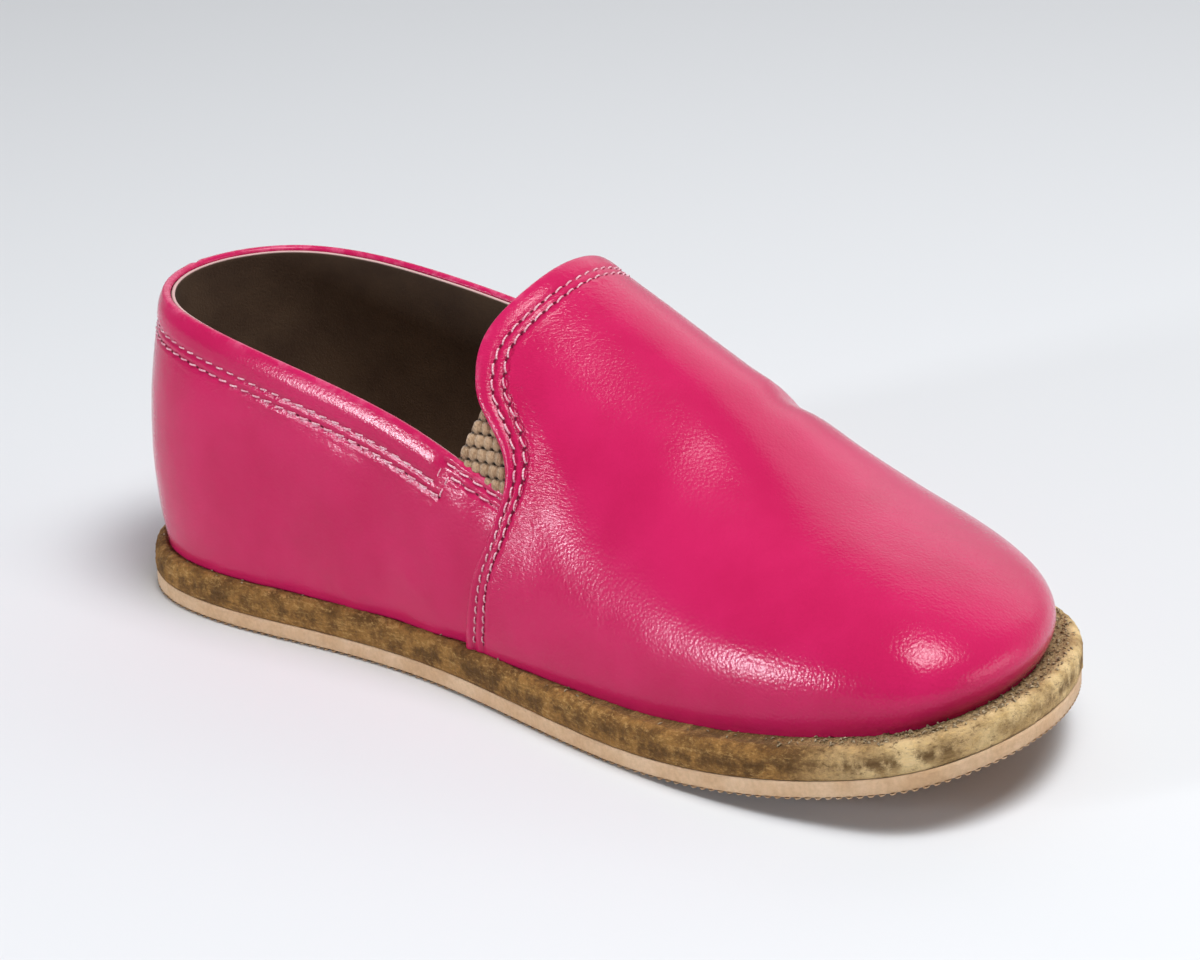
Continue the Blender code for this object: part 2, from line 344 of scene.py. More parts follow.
def sole_view(points):
    """(along, medial) of points in millimetres."""
    return LENGTH / 2 - points[..., 1], MIDDLE - points[..., 0]


def smooth(x, low, high):
    """Soft step from 0 at low to 1 at high."""
    t = np.clip((x - low) / (high - low), 0.0, 1.0)
    return t * t * (3 - 2 * t)


def rumple(points, size, seed=0.0):
    """Soft noise of about -1 to 1 at points in millimetres, with features of the given size."""
    flat = points.reshape(-1, 3) / size + seed
    return np.array([noise.noise(Vector(p)) for p in flat.tolist()]).reshape(points.shape[:-1])


def waves(points, *layers):
    """Sum of layers of soft noise, each given as amount, size and seed."""
    return sum(amount * rumple(points, size, seed) for amount, size, seed in layers)


def mesh_piece(name, points, faces, material, nodes, masks=None):
    """Smooth mesh object from points in millimetres, with float attributes for its material."""
    mesh = bpy.data.meshes.new(name)
    mesh.from_pydata((np.asarray(points).reshape(-1, 3) * MM).tolist(), [], faces)
    mesh.shade_smooth()
    for key, values in (masks or {}).items():
        layer = mesh.attributes.new(key, "FLOAT", "POINT")
        layer.data.foreach_set("value", np.asarray(values, np.float32).ravel())
    piece = link(bpy.data.objects.new(name, mesh))
    mesh.materials.append(material)
    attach(piece, "root")
    if nodes:
        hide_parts(*nodes)
    return piece


def grid(rows, columns, start=0):
    """Vertex numbers of a grid stored row by row."""
    return start + np.arange(rows * columns).reshape(rows, columns)


def quads(index, closed=False):
    """Faces between neighbours on a grid of vertex numbers; closed joins the last column to the first."""
    if closed:
        index = np.column_stack([index, index[:, 0]])
    corners = [index[:-1, :-1], index[:-1, 1:], index[1:, 1:], index[1:, :-1]]
    return np.stack(corners, axis=-1).reshape(-1, 4).tolist()


def cap(ring, steps, low, start):
    """Face across a ring that follows the toe spring: its extra points, and its faces seen from above."""
    count = len(ring)
    half = count // 2
    inner, outer = ring[1:half], ring[:half:-1]
    part = np.arange(1, steps)[None, :, None] / steps
    extra = inner[:, None] * (1 - part) + outer[:, None] * part
    level = inner[:, 2] - spring(LENGTH / 2 - inner[:, 1])
    extra[..., 2] = level[:, None] + spring(LENGTH / 2 - extra[..., 1])
    index = np.column_stack([low + np.arange(1, half), grid(half - 1, steps - 1, start),
                             low + np.arange(count - 1, half, -1)])
    tips = [(low, b, a) for a, b in zip(index[0].tolist(), index[0, 1:].tolist())]
    tips += [(low + half, a, b) for a, b in zip(index[-1].tolist(), index[-1, 1:].tolist())]
    return extra.reshape(-1, 3), quads(index) + tips


def plate(rows, steps):
    """Points and faces of a closed plate through rings listed bottom to top."""
    levels, count = rows.shape[:2]
    below, under = cap(rows[0], steps, 0, levels * count)
    above, over = cap(rows[-1], steps, (levels - 1) * count, levels * count + len(below))
    points = np.concatenate([rows.reshape(-1, 3), below, above])
    return points, quads(grid(levels, count), closed=True) + [face[::-1] for face in under] + over


def around(count):
    """Ring positions of mesh columns round the edge, count of them on each side."""
    return np.arange(2 * count) * HALF / count


def edge_rows(profile, positions):
    """Rings of points at the heights and insets of an edge profile."""
    ring, inward = on_ring(RING, positions), on_ring(INWARD, positions)
    rows = []
    for height, inset in profile:
        flat = ring + inward * np.reshape(inset, (-1, 1))
        rows.append(place(flat[:, 0], flat[:, 1], spring(flat[:, 0]) + height))
    return np.array(rows)


def inside_distance(points):
    """Distance in from the outline for (along, medial) points, negative outside."""
    tree = kdtree.KDTree(len(RING))
    for i, (along, medial) in enumerate(RING.tolist()):
        tree.insert((along, medial, 0.0), i)
    tree.balance()
    found = np.array([tree.find((along, medial, 0.0))[1] for along, medial in points.tolist()])
    return np.einsum("ij,ij->i", points - RING[found], INWARD[found])


def dot_spots():
    """Middles of the domes as (along, medial): a turned lattice, and one row that follows the edge."""
    turn = np.radians(DOT_TURN)
    rows = np.arange(-DOT_REACH, DOT_REACH)
    lattice = [((i + (j % 2) / 2) * DOT_PITCH, j * DOT_PITCH * np.sqrt(0.75)) for i in rows for j in rows]
    across, along = np.array(lattice).T
    spots = np.stack([LENGTH / 2 + along * np.cos(turn) + across * np.sin(turn),
                      across * np.cos(turn) - along * np.sin(turn)], axis=1)
    spots = spots[(spots[:, 0] > 0) & (spots[:, 0] < LENGTH)]
    spots = spots[inside_distance(spots) > DOT_BORDER]
    chord = np.linalg.norm(np.roll(RING, -1, axis=0) - RING, axis=1)
    count = int(chord.sum() / DOT_PITCH)
    stops = np.interp((np.arange(count) + 0.5) / count * chord.sum(), np.cumsum(chord), np.arange(len(RING)))
    stops = stops / RING_FINE
    return np.concatenate([spots, on_ring(RING, stops) + DOT_RIM * on_ring(INWARD, stops)])


def dots(start):
    """Domes of the tread as one mesh: points, faces, and how near each point is to a dome's top."""
    spots = dot_spots()
    patch_along, patch_medial, half_length, half_width = WAIST_PATCH
    patch = np.hypot((spots[:, 0] - patch_along) / half_length, (spots[:, 1] - patch_medial) / half_width)
    tall = OUTSOLE_BASE * (1 - WORN_FLAT * (1 - smooth(patch, 0.7, 1.15)))
    tall *= 1 - 0.12 * rng.random(len(spots))
    angle = np.arange(DOT_SIDES) * 2 * np.pi / DOT_SIDES
    points, tips = [], []
    for reach, rise in DOT_PROFILE:
        ring = spots[:, None] + reach * DOT_RADIUS * np.stack([np.cos(angle), np.sin(angle)], axis=1)
        height = spring(ring[..., 0]) + OUTSOLE_BASE + DOT_ROOT - (tall[:, None] + DOT_ROOT) * rise
        points.append(place(ring[..., 0], ring[..., 1], height))
        tips.append(np.full(height.shape, rise))
    points.append(place(spots[:, 0], spots[:, 1], spring(spots[:, 0]) + OUTSOLE_BASE - tall)[:, None])
    points = np.concatenate(points, axis=1)
    tips = np.concatenate([*tips, np.ones((len(spots), 1))], axis=1) * (tall / OUTSOLE_BASE)[:, None]
    index = grid(len(DOT_PROFILE), DOT_SIDES)
    last, top = index[-1].tolist(), index.size
    one = quads(index[:, ::-1], closed=True)
    one += [(last[(i + 1) % DOT_SIDES], last[i], top) for i in range(DOT_SIDES)]
    bases = range(start, start + len(spots) * (top + 1), top + 1)
    faces = [[base + i for i in face] for base in bases for face in one]
    return points.reshape(-1, 3), faces, tips.ravel()


def masks_of(material, *names):
    """Attributes of the mesh as fields."""
    return [add_node(material.node_tree, "Attribute", output="Fac", attribute_name=name) for name in names]


def millimetres(material, stretch=(1.0, 1.0, 1.0)):
    """The piece's own coordinates in millimetres, divided by a stretch along each axis."""
    where = add_node(material.node_tree, "TexCoord", output="Object")
    return add_node(material.node_tree, "VectorMath", {0: where, 1: [1 / (MM * s) for s in stretch]},
                    operation="MULTIPLY")


def rubber_material():
    material = new_material("natural_rubber")
    rim, under, tip = masks_of(material, "rim_distance", "underside", "tip")
    where = millimetres(material)
    drift = where.speckle(9.0, 3.0, 0.6).ramp(0.35, 0.65)
    fine = where.speckle(0.7, 4.0, 0.65)
    halo = rim.ramp(3.0, 9.0) * rim.ramp(18.0, 10.0) * where.speckle(14.0, 3.0).ramp(0.42, 0.62, 0.15, 0.75)
    # painted glint: the tops of the domes are painted paler
    glint = tip.ramp(0.80, 1.0) * where.speckle(2.2).ramp(0.3, 0.6, 0.25, 0.8)
    tread = layered(drift.blend(*RUBBER_TREAD), (halo, RUBBER_HALO))
    color = layered(under.blend(drift.blend(*RUBBER_EDGE), tread), (glint, RUBBER_GLINT),
                    (fine.ramp(0.3, 0.75, 0.0, 0.22), RUBBER_DIRT))
    scratch = millimetres(material, (2.4, 2.4, 0.16)).speckle(1.0, 3.0)
    return dress(material, {"Base Color": color, "Roughness": fine.ramp(0.2, 0.8, 0.50, 0.68),
                            "Specular IOR Level": 0.38, "Subsurface Weight": 0.06,
                            "Subsurface Radius": (0.9, 0.5, 0.3), "Subsurface Scale": 0.6 * MM},
                 fine * 0.6 + scratch * 0.5, 0.10)


def make_outsole():
    points, faces = plate(edge_rows(OUTSOLE_EDGE, around(OUTSOLE_RINGS)), 16)
    points[:, 2] = np.maximum(points[:, 2] + waves(points, OUTSOLE_WAVE), 0.02)
    tops, dot_faces, tips = dots(len(points))
    tip = np.concatenate([np.zeros(len(points)), tips])
    points = np.concatenate([points, tops])
    flat = np.stack(sole_view(points), axis=1)
    rim = inside_distance(flat)
    under = (points[:, 2] - spring(flat[:, 0]) < 0.45) & (rim > 0.6)
    masks = {"tip": tip, "rim_distance": rim, "underside": under}
    mesh_piece("outsole_rubber_sheet", points, faces + dot_faces, rubber_material(),
               ["outsole"], masks)


rng = np.random.default_rng(26)
make_outsole()


# ------------------------------------------------------------------------------------------ midsole
# A slab of thick vegetable-tanned leather between rubber and upper, a little wider than the foot. Its
# edge is left raw: sanded round, brushed into a short nap, darker in a worn groove and paler at the toe.
# The margin on top, between the edge and the upper, is roughed up for the cement and left crumbly.

MIDSOLE_RINGS = 704
# Edge profile: height, inset from the outline
MIDSOLE_EDGE = [(2.98, 1.6), (2.99, 0.5), (3.06, 0.20), (3.4, 0.03), (4.8, -0.05), (5.6, 0.0), (6.3, 0.14),
                (6.9, 0.42), (7.35, 0.85), (7.62, 1.35), (7.74, 1.9)]
EDGE_ROWS = 26
SHELF_ROWS = 18
SHELF_UNDER = 1.6           # how far the margin carries on under the upper's foot
SHELF_RISE = 0.08
SHELF_DIP = 0.22
NAP = 0.24                  # height of the nap, and of the crumbs on the margin
CRUMBLE = 0.34
GROOVE_HEIGHT = 5.15
GROOVE_WIDTH = 1.0
GROOVE_DEPTH = 0.10
STRAND = (0.55, 2.2, 0.5)   # a strand of the nap: width, length, slant
CHUNKS = (0.6, 1.1, 11.0), (0.4, 0.5, 17.0)     # crumbly margin: share, size, seed
SWELL = (0.10, 4.0, 31.0)   # soft unevenness of the edge: amount, size, seed
CRUMBLY = (33.0, 38.0), (50.0, 58.0)    # ring positions between which the margin grows crumbly, and wears off
PALE_TOE = (138.0, 162.0)   # along, between which the edge turns pale
# Feather line, where the upper meets the sole: along, inset
FEATHER = [(0, 2.4), (20, 2.4), (60, 2), (85, 2.2), (110, 4), (135, 5), (LENGTH, 5.2)]
CRUMBS = 1600               # loose slivers tried, of which the ones in bare places are left out
# Bent sliver: part of its length, lift and width of each cross line of three points; and its faces
SLIVER = [(-0.5, 0.0, 0.45), (0.0, 1.0, 1.0), (0.5, 0.2, 0.45)]
SLIVER_FACES = [(0, 1, 4, 3), (1, 2, 5, 4), (3, 4, 7, 6), (4, 5, 8, 7), (0, 3, 6, 8, 5, 2), (0, 2, 1),
                (6, 7, 8)]
# brown of the edge away from the toe: the leather's tone, darkened in part as painted shadow
NAP_BROWN_AND_SHADE = (0.100, 0.042, 0.010), (0.290, 0.141, 0.036)
NAP_PALE = (0.420, 0.265, 0.105), (0.760, 0.560, 0.290)
# strands painted lighter as lit, then the painted shade in the hollows between them
NAP_FIBRE_LIT = (0.570, 0.345, 0.122), (0.725, 0.495, 0.210)
NAP_DEEP_SHADE = (0.088, 0.042, 0.013)
NAP_WORN = (0.085, 0.038, 0.010)
NAP_ROUGH = (0.140, 0.084, 0.034), (0.510, 0.370, 0.180)
# painted shadow where the margin runs in under the upper
NAP_SEAM_SHADOW = (0.030, 0.014, 0.008)
NAP_SHEEN = (0.75, 0.55, 0.32)
CRUMB = (0.160, 0.098, 0.043), (0.560, 0.455, 0.290)
CRUMB_DARK = (0.090, 0.052, 0.020)


def feather_inset(positions):
    """Inset of the feather line at ring positions."""
    return spline(FEATHER, 1, on_ring(RING, positions)[:, 0])


def lengths(points):
    """Distance along a line at each of its points."""
    return np.concatenate([[0.0], np.cumsum(np.linalg.norm(np.diff(points, axis=0), axis=1))])


def evenly(points, values, count):
    """Rows of values read at a number of places spread evenly along a line of points."""
    at = lengths(points)
    return [np.interp(np.linspace(0.0, at[-1], count), at, row) for row in values]


def by_length(profile, count):
    """Points spaced evenly along a profile."""
    return np.stack(evenly(profile, np.transpose(profile), count), axis=1)


def bell(x, width):
    return np.exp(-(x / width) ** 2)


def grid_normals(rows):
    """Unit normals of a closed grid of rings listed bottom to top, outwards."""
    across = np.roll(rows, -1, axis=1) - np.roll(rows, 1, axis=1)
    return unit(np.cross(across, np.gradient(rows, axis=0)))


def nap_material():
    """Brushed strands along the edge and crumbs on the margin, over brown leather that is pale at the toe; the
    brown is darkened in part as painted shadow, the strands carry painted light with painted shade between
    them, and painted shadow lies where the margin meets the upper.
    """
    material = new_material("raw_leather_edge")
    arc, rise, shelf, groove = masks_of(material, "arc", "rise", "shelf", "groove")
    toe, seat, rough = masks_of(material, "toe", "seat", "rough")
    flow = add_node(material.node_tree, "CombineXYZ", {"X": arc * 0.42 + rise * 0.30, "Y": rise, "Z": shelf})
    where = millimetres(material)
    strokes, crumb = flow.speckle(0.42, 4.0, 0.72), where.speckle(0.38, 4.0, 0.75)
    patch = where.speckle(4.2, 5.0, 0.68)
    # lit follows the raised strands: painted light on them and painted shade between them
    lit = strokes * 0.50 + flow.speckle(1.7, 5.0, 0.70) * 0.32 + crumb * 0.18
    brown, pale = patch.ramp(0.34, 0.64).blend(*NAP_BROWN_AND_SHADE), patch.ramp(0.30, 0.66).blend(*NAP_PALE)
    color = layered(toe.blend(brown, pale), (lit.ramp(0.49, 0.62, 0.0, 0.60), toe.blend(*NAP_FIBRE_LIT)),
                    (lit.ramp(0.49, 0.37, 0.0, 0.82), NAP_DEEP_SHADE),
                    (groove * patch.ramp(0.60, 0.44, 0.0, 0.85), NAP_WORN),
                    (rough * 0.9, crumb.ramp(0.36, 0.66).blend(*NAP_ROUGH)), (seat, NAP_SEAM_SHADOW))
    return dress(material, {"Base Color": color, "Roughness": strokes.ramp(0.3, 0.7, 0.78, 0.95),
                            "Specular IOR Level": 0.22, "Sheen Weight": 0.08, "Sheen Roughness": 0.55,
                            "Sheen Tint": NAP_SHEEN}, strokes + crumb * (shelf + 0.45), 0.30)


def midsole_rows(positions):
    """Rings of the slab before it is worn: the edge, then the margin in to under the upper."""
    foot = feather_inset(positions) + SHELF_UNDER
    top, inset = MIDSOLE_EDGE[-1]
    shelf = [(top + SHELF_RISE * t - SHELF_DIP * np.sin(np.pi * min(1.0, t * 1.3)), inset * (1 - t) + foot * t)
             for t in np.linspace(0.0, 1.0, SHELF_ROWS + 1)[1:]]
    return edge_rows([*by_length(MIDSOLE_EDGE, EDGE_ROWS), *shelf], positions)


def make_midsole():
    positions = around(MIDSOLE_RINGS)
    rows = midsole_rows(positions)
    line = rows[EDGE_ROWS // 2]
    arc = np.broadcast_to(np.cumsum(np.linalg.norm(np.roll(line, -1, axis=0) - line, axis=1)), rows.shape[:2])
    along = sole_view(rows)[0]
    rise = rows[..., 2] - spring(along)
    row = np.broadcast_to(np.arange(len(rows))[:, None], arc.shape)
    on_shelf = smooth(row, EDGE_ROWS - 4, EDGE_ROWS + 3)
    width, length, slant = STRAND
    nap = 0.6 * rumple(np.stack([arc / width + slant * rise, rise / length, on_shelf], axis=-1), 1.0)
    nap += 0.4 * rumple(rows, 0.45, 5.0)
    fade = smooth(rumple(rows, 13.0, 23.0), -0.25, 0.25)
    wander = GROOVE_HEIGHT + 0.35 * rumple(np.stack([arc, 0 * arc, 0 * arc], axis=-1), 16.0, 2.0)
    groove = bell(rise - wander, GROOVE_WIDTH) * (0.35 + 0.65 * fade) * (1 - on_shelf)
    grows, wears = (smooth(positions, *limits) for limits in CRUMBLY)
    round_toe = np.minimum(grows, 1 - 0.55 * wears)
    crumbly = on_shelf * (0.18 + 0.82 * round_toe)
    push = NAP * nap * (1 - crumbly) + CRUMBLE * waves(rows, *CHUNKS) * crumbly
    push += waves(rows, SWELL) - GROOVE_DEPTH * groove
    rows = rows + grid_normals(rows) * (push * smooth(rise, 3.0, 3.25))[..., None]
    # painted shadow on the margin's last rows, where they meet and run under the upper
    seat = smooth(row, len(rows) - 8, len(rows) - 4)
    toe = smooth(along, *PALE_TOE) * (0.55 + 0.45 * smooth(rumple(rows, 6.0, 41.0), -0.3, 0.3))
    points, faces = plate(rows, 4)
    spare = len(points) - arc.size
    # Name, values on the rings, value on the faces above and below
    masks = (("arc", arc, 0), ("rise", rise, 0), ("shelf", on_shelf, 1), ("groove", groove, 0), ("toe", toe, 0),
             ("seat", seat, 1), ("rough", crumbly, 1))
    mesh_piece("midsole_leather_slab", points, faces, nap_material(), ["midsole"],
               {name: np.append(values, np.full(spare, fill)) for name, values, fill in masks})
    return rows, round_toe


def crumb_material():
    material = new_material("roughed_fibres")
    tint, = masks_of(material, "tint")
    grain = millimetres(material).speckle(0.3, 3.0)
    color = layered(tint.blend(*CRUMB), (grain.ramp(0.35, 0.65, 0.0, 0.4), CRUMB_DARK))
    return dress(material, {"Base Color": color, "Roughness": 0.92, "Specular IOR Level": 0.2}, grain, 0.1)


def make_crumbs(rows, rough):
    """Loose fibres and flakes left by the rasp on the margin, as one mesh of small bent slivers."""
    shelf = rows[EDGE_ROWS - 3:len(rows) - 5]
    pick = rng.integers(0, rows.shape[1], CRUMBS)
    width = np.linalg.norm(shelf[-1] - shelf[0], axis=1)
    pick = pick[rng.random(CRUMBS) < (0.15 + 0.85 * rough[pick]) * width[pick] / width.max()]
    points, faces, tint = [], [], []
    for column in pick:
        at = shelf[rng.integers(0, len(shelf)), column] + (0.0, 0.0, 0.06)
        heading = rng.uniform(0.0, 2 * np.pi)
        run = np.array([np.cos(heading), np.sin(heading), 0.0])
        side = np.array([-run[1], run[0], 0.0])
        long, wide, lift = rng.uniform(0.25, 0.95), rng.uniform(0.08, 0.22), rng.uniform(0.02, 0.30)
        tint += [rng.random()] * 3 * len(SLIVER)
        faces += [[len(points) + i for i in face] for face in SLIVER_FACES]
        for part, bow, girth in SLIVER:
            middle = at + run * long * part + (0.0, 0.0, lift * bow)
            girth *= wide
            points += [middle - side * girth, middle + (0.0, 0.0, girth * 0.7), middle + side * girth]
    mesh_piece("margin_crumbs", points, faces, crumb_material(), [], {"tint": tint})


make_crumbs(*make_midsole())


# ------------------------------------------------------------------------------------------- insole
# A footbed of lining leather over a thin board, laid loose inside the upper. It is plain, matt brown,
# with a cut edge and a shallow dish pressed under the heel and the ball.

INSOLE_HEIGHT = 8.1
INSOLE_INSET = 2.6
INSOLE_EDGE = [(0.0, 0.3), (0.15, 0.05), (1.6, 0.0), (2.0, 0.12), (2.2, 0.45)]
INSOLE_TOP = 1.9            # points higher than this above its underside belong to the top
INSOLE_WAVE = (0.05, 6.0, 3.0)
# Dishes: along, medial, half length, half width, depth
DISHES = [(26, -4, 22, 17, 0.55), (118, 2, 26, 24, 0.5)]
# Sizes of the drift of colour and of the grain, coarseness of the grain, least roughness
FOOTBED_HIDE = (16.0, 0.55, 0.6, 0.66)
DULL_RANGE = 0.14           # how much rougher matt leather grows with the drift of its colour
FOOTBED = (0.250, 0.140, 0.065), (0.360, 0.225, 0.120)
FOOTBED_PORE = (0.150, 0.080, 0.036)


def new_group(name, make, *floats):
    """Shader node group of a vector and float inputs, with the outputs that a function makes from them."""
    group = bpy.data.node_groups.new(name, "ShaderNodeTree")
    for socket in ("Vector", *floats):
        kind = "NodeSocketVector" if socket == "Vector" else "NodeSocketFloat"
        group.interface.new_socket(name=socket, in_out="INPUT", socket_type=kind)
    source, out = group.nodes.new("NodeGroupInput"), group.nodes.new("NodeGroupOutput")
    fields = [Field(group, source.outputs[socket]) for socket in ("Vector", *floats)]
    for socket, field in make(*fields).items():
        group.interface.new_socket(name=socket, in_out="OUTPUT", socket_type="NodeSocketFloat")
        feed(group, out.inputs[socket], field)
    return group


def matt_hide(where, drift_scale, grain_scale, coarseness):
    """Slow drift of colour, and open grain, of leather left without a finish."""
    look = {"Vector": where, "Detail": 4.0}
    drift = add_node(where.tree, "TexNoise", {**look, "Scale": drift_scale, "Roughness": 0.6})
    grain = add_node(where.tree, "TexNoise", {**look, "Scale": grain_scale, "Roughness": coarseness})
    return {"Drift": drift.ramp(0.3, 0.7), "Grain": grain}


MATT_HIDE = new_group("matt_hide", matt_hide, "Drift Scale", "Grain Scale", "Coarseness")


def matt_leather(material, drift_size, grain_size, coarseness, roughness):
    """Drift of colour, grain and roughness of a matt leather."""
    inputs = {"Vector": millimetres(material), "Drift Scale": 1 / drift_size, "Grain Scale": 1 / grain_size,
              "Coarseness": coarseness}
    fields = add_node(material.node_tree, "Group", inputs, None, node_tree=MATT_HIDE)
    return fields["Drift"], fields["Grain"], fields["Drift"] * DULL_RANGE + roughness


def insole_material():
    material = new_material("footbed_leather")
    drift, grain, roughness = matt_leather(material, *FOOTBED_HIDE)
    color = layered(drift.blend(*FOOTBED), (grain.ramp(0.55, 0.75, 0.0, 0.35), FOOTBED_PORE))
    return dress(material, {"Base Color": color, "Roughness": roughness}, grain, 0.12)


def make_insole():
    positions = around(OUTSOLE_RINGS)
    inset = feather_inset(positions) + INSOLE_INSET
    profile = [(INSOLE_HEIGHT + height, inset + pull) for height, pull in INSOLE_EDGE]
    points, faces = plate(edge_rows(profile, positions), 40)
    along, medial = sole_view(points)
    top = points[:, 2] - spring(along) > INSOLE_HEIGHT + INSOLE_TOP
    for at, across, half_length, half_width, depth in DISHES:
        away = np.hypot((along - at) / half_length, (medial - across) / half_width)
        points[:, 2] -= top * depth * (1 - smooth(away, 0.1, 1.0))
    points[:, 2] += top * waves(points, INSOLE_WAVE)
    mesh_piece("insole_footbed", points, faces, insole_material(), ["insole"])


make_insole()


# --------------------------------------------------------------------------------------------- vamp
# The front of the upper: one piece of smooth, lightly finished calf, dyed pink through its face, pulled
# wet over the last. Its rear edge is folded under and lapped over the quarters, then held by two rows of
# lock stitch which run up the side, round the elastic and over the tongue.

# Ridge of the last: along, height, medial shift, bulge of the wall, wall fullness, crown fullness
LAST = [
    (22, 74, -4, 1.8, 0.45, 0.26), (45, 72, -4, 2.6, 0.45, 0.20), (65, 66.5, -4, 2.4, 0.42, 0.16),
    (80, 60.3, -4, 1.6, 0.40, 0.20), (95, 53.3, -3, 1, 0.38, 0.32), (110, 45.9, -0.4, 1, 0.40, 0.40),
    (126, 36.7, 4.7, 1.2, 0.51, 0.38), (142, 32.1, 11.8, 1.8, 0.47, 0.23),
]
RIDGE_STRAIGHT = (48.0, 100.0)
FOOT = OUTSOLE + MIDSOLE + GAP
# How the leather turns in under the foot: drop, pull inwards
FOOT_TUCK = [(0.30, -0.02), (0.62, 0.20), (0.80, 0.75)]
# Rear edge of the vamp seen from the side: height, along
VAMP_EDGE = [(6, 76.9), (9, 77.5), (15, 78.8), (21.5, 80.6), (27, 82.9), (31, 84.1), (34.5, 84.6), (37.2, 84.1),
             (40, 82.5), (43, 79.7), (45.5, 77.4), (49, 75.7), (53.4, 75), (57, 76), (60, 77.6), (66, 79.6)]
# Stitch rows of the vamp: height of the edge beside them, first row in from the edge, gap to the second
VAMP_ROWS = [(8, 2.1, 1.9), (14, 1.95, 1.7), (20, 1.6, 1.4), (27, 1.2, 1.3), (33, 1.3, 1.35), (38, 1.9, 1.6),
             (44, 2.5, 1.8), (50, 2.95, 1.75), (55, 3.3, 1.5), (60, 3.6, 1.35), (66, 3.7, 1.35)]
EDGE_POINTS = 176           # mesh columns of the rear edge, each side
BAND = 7.0                  # width meshed finely along the rear edge
WALK = 0.25                 # step of that band
FRONT_ROWS = 150            # rows from the band to the toe
RIM = 0.55                  # radius of the folded edge
LAP = 0.30                  # how far the lapped edge stands over the quarters
LAP_WIDTH = 4.5
STITCH = 2.45               # pitch of the stitches
SUNK = 0.15                 # depth of the leather under the thread
ROW_WIDTH = 0.50            # width of the trough it lies in
ROW_SIDES = (0.05, 0.90, 0.4)   # swelling beside the thread: height, distance, width
# Painted shade along the trough of each stitch row
ROW_SHADING = (0.25, 0.30)    # shade along a row: depth, width
PUFF = (0.16, 0.5, 0.42)    # swelling before the first row: height; place and width as shares of its distance
PULL = 0.58                 # how far the leather draws in beside the rows
PULL_PLACE = (42.5, 12.0, 3.6)  # height, spread up and down, width
TIGHT = (0.07, 1.3, 5.0)    # fine unevenness of the leather strained by the rows: amount, size, seed
TIGHT_WIDTH = 2.6
BROKEN = (1.0, 5.5)         # where the grain breaks beyond the second row: distance, width
FREE = (1.0, 9.0)           # distances from the edge between which creases and waves set in
VAMP_WAVES = (0.08, 14.0, 3.0), (0.02, 4.0, 9.0)
# Creases and swellings of the vamp: along, medial, heading in degrees from the toe line, half length,
# half width, depth (a trough is positive)
CREASES = [
    (111, -19, 84, 10, 2.4, 0.62), (107, -19, 84, 9, 2.4, -0.30), (116.5, -16, 78, 12, 3.4, -0.16),
    (102, 20, 62, 10, 4, 0.12), (109, 21, 66, 12, 4.6, -0.12), (117, 14, 76, 13, 5, 0.10),
    (89.5, 17.5, 14, 6, 1.6, 0.18), (92, 19.5, 18, 7, 1.8, -0.12), (91, 25.5, 30, 6, 1.8, 0.15),
    (88, 23, 8, 5, 1.5, -0.14), (90, -22, 20, 9, 2.2, 0.22), (95, -25, 28, 8, 2.4, -0.16),
    (101, -24, 50, 9, 3, 0.18), (134, 28, 70, 9, 4, 0.08),
]
GRAIN_PITCH = 0.52
TOE_GRAIN = 0.8             # how much deeper the grain is over the toe
TOE_RANGE = (122.0, 140.0)  # along, between which it deepens
GRAIN_DEPTH = 0.027
CALF = (0.490, 0.011, 0.080), (0.548, 0.014, 0.097)
CALF_PORE = (0.380, 0.004, 0.045)
CALF_RUBBED = (0.760, 0.180, 0.300)
CALF_DUST = (0.850, 0.600, 0.600)
CALF_STRAINED = (0.480, 0.006, 0.060)
# near black for the painted shade along the stitch rows
CALF_ROW_SHADE = (0.060, 0.002, 0.012)


def last_ribs():
    """The ribs of the last at each fine ring position, and the tables they are made from."""
    feather = RING + INWARD * feather_inset(np.arange(len(RING)) / RING_FINE)[:, None]
    along = (feather[:, 0] + np.roll(feather[::-1, 0], 1)) / 2
    start, end = RIDGE_STRAIGHT
    heel_pull = (LAST[0][0] - along.min()) / (start - along.min()) ** 2
    toe_pull = (along.max() - LAST[-1][0]) / (along.max() - end) ** 2
    ridge = along + heel_pull * np.clip(start - along, 0, None) ** 2
    ridge -= toe_pull * np.clip(along - end, 0, None) ** 2
    top, shift, bulge, wall, crown = (spline(LAST, column, ridge) for column in range(1, 6))
    reach = np.stack([ridge, shift], axis=1) - feather
    foot = FOOT + spring(feather[:, 0])
    shoulder = foot + wall * (top - foot)
    brow = top - spline(LAST, 1, ridge, slope=True) * reach[:, 0] * (1 - crown)
    lean = -3 * bulge / np.linalg.norm(reach, axis=1)
    return np.column_stack([feather, reach, lean, crown, foot, shoulder, brow, top])


RIBS = last_ribs()


def rib_point(u, v):
    """Face of the upper at a ring position, from the heel tip up the inner side, and a fraction of the rib."""
    u, v = np.broadcast_arrays(u, v)
    rib = np.moveaxis(on_ring(RIBS, u), -1, 0)
    first, second, third, last = (1 - v) ** 3, 3 * v * (1 - v) ** 2, 3 * v * v * (1 - v), v**3
    across = second * rib[4] + third * rib[5] + last
    height = first * rib[6] + second * rib[7] + third * rib[8] + last * rib[9]
    return place(rib[0] + rib[2] * across, rib[1] + rib[3] * across, height)


def front_point(k, w):
    """Face of the upper from the heel (k = 0) to the toe (k = HALF), and from the foot of the inner side
    (w = -1) over the ridge (w = 0) to the foot of the outer."""
    over = k > HALF
    k, w = np.where(over, 2 * HALF - k, k), np.where(over, -w, w)
    return rib_point(np.where(w < 0, k, 2 * HALF - k), 1 - np.abs(w))


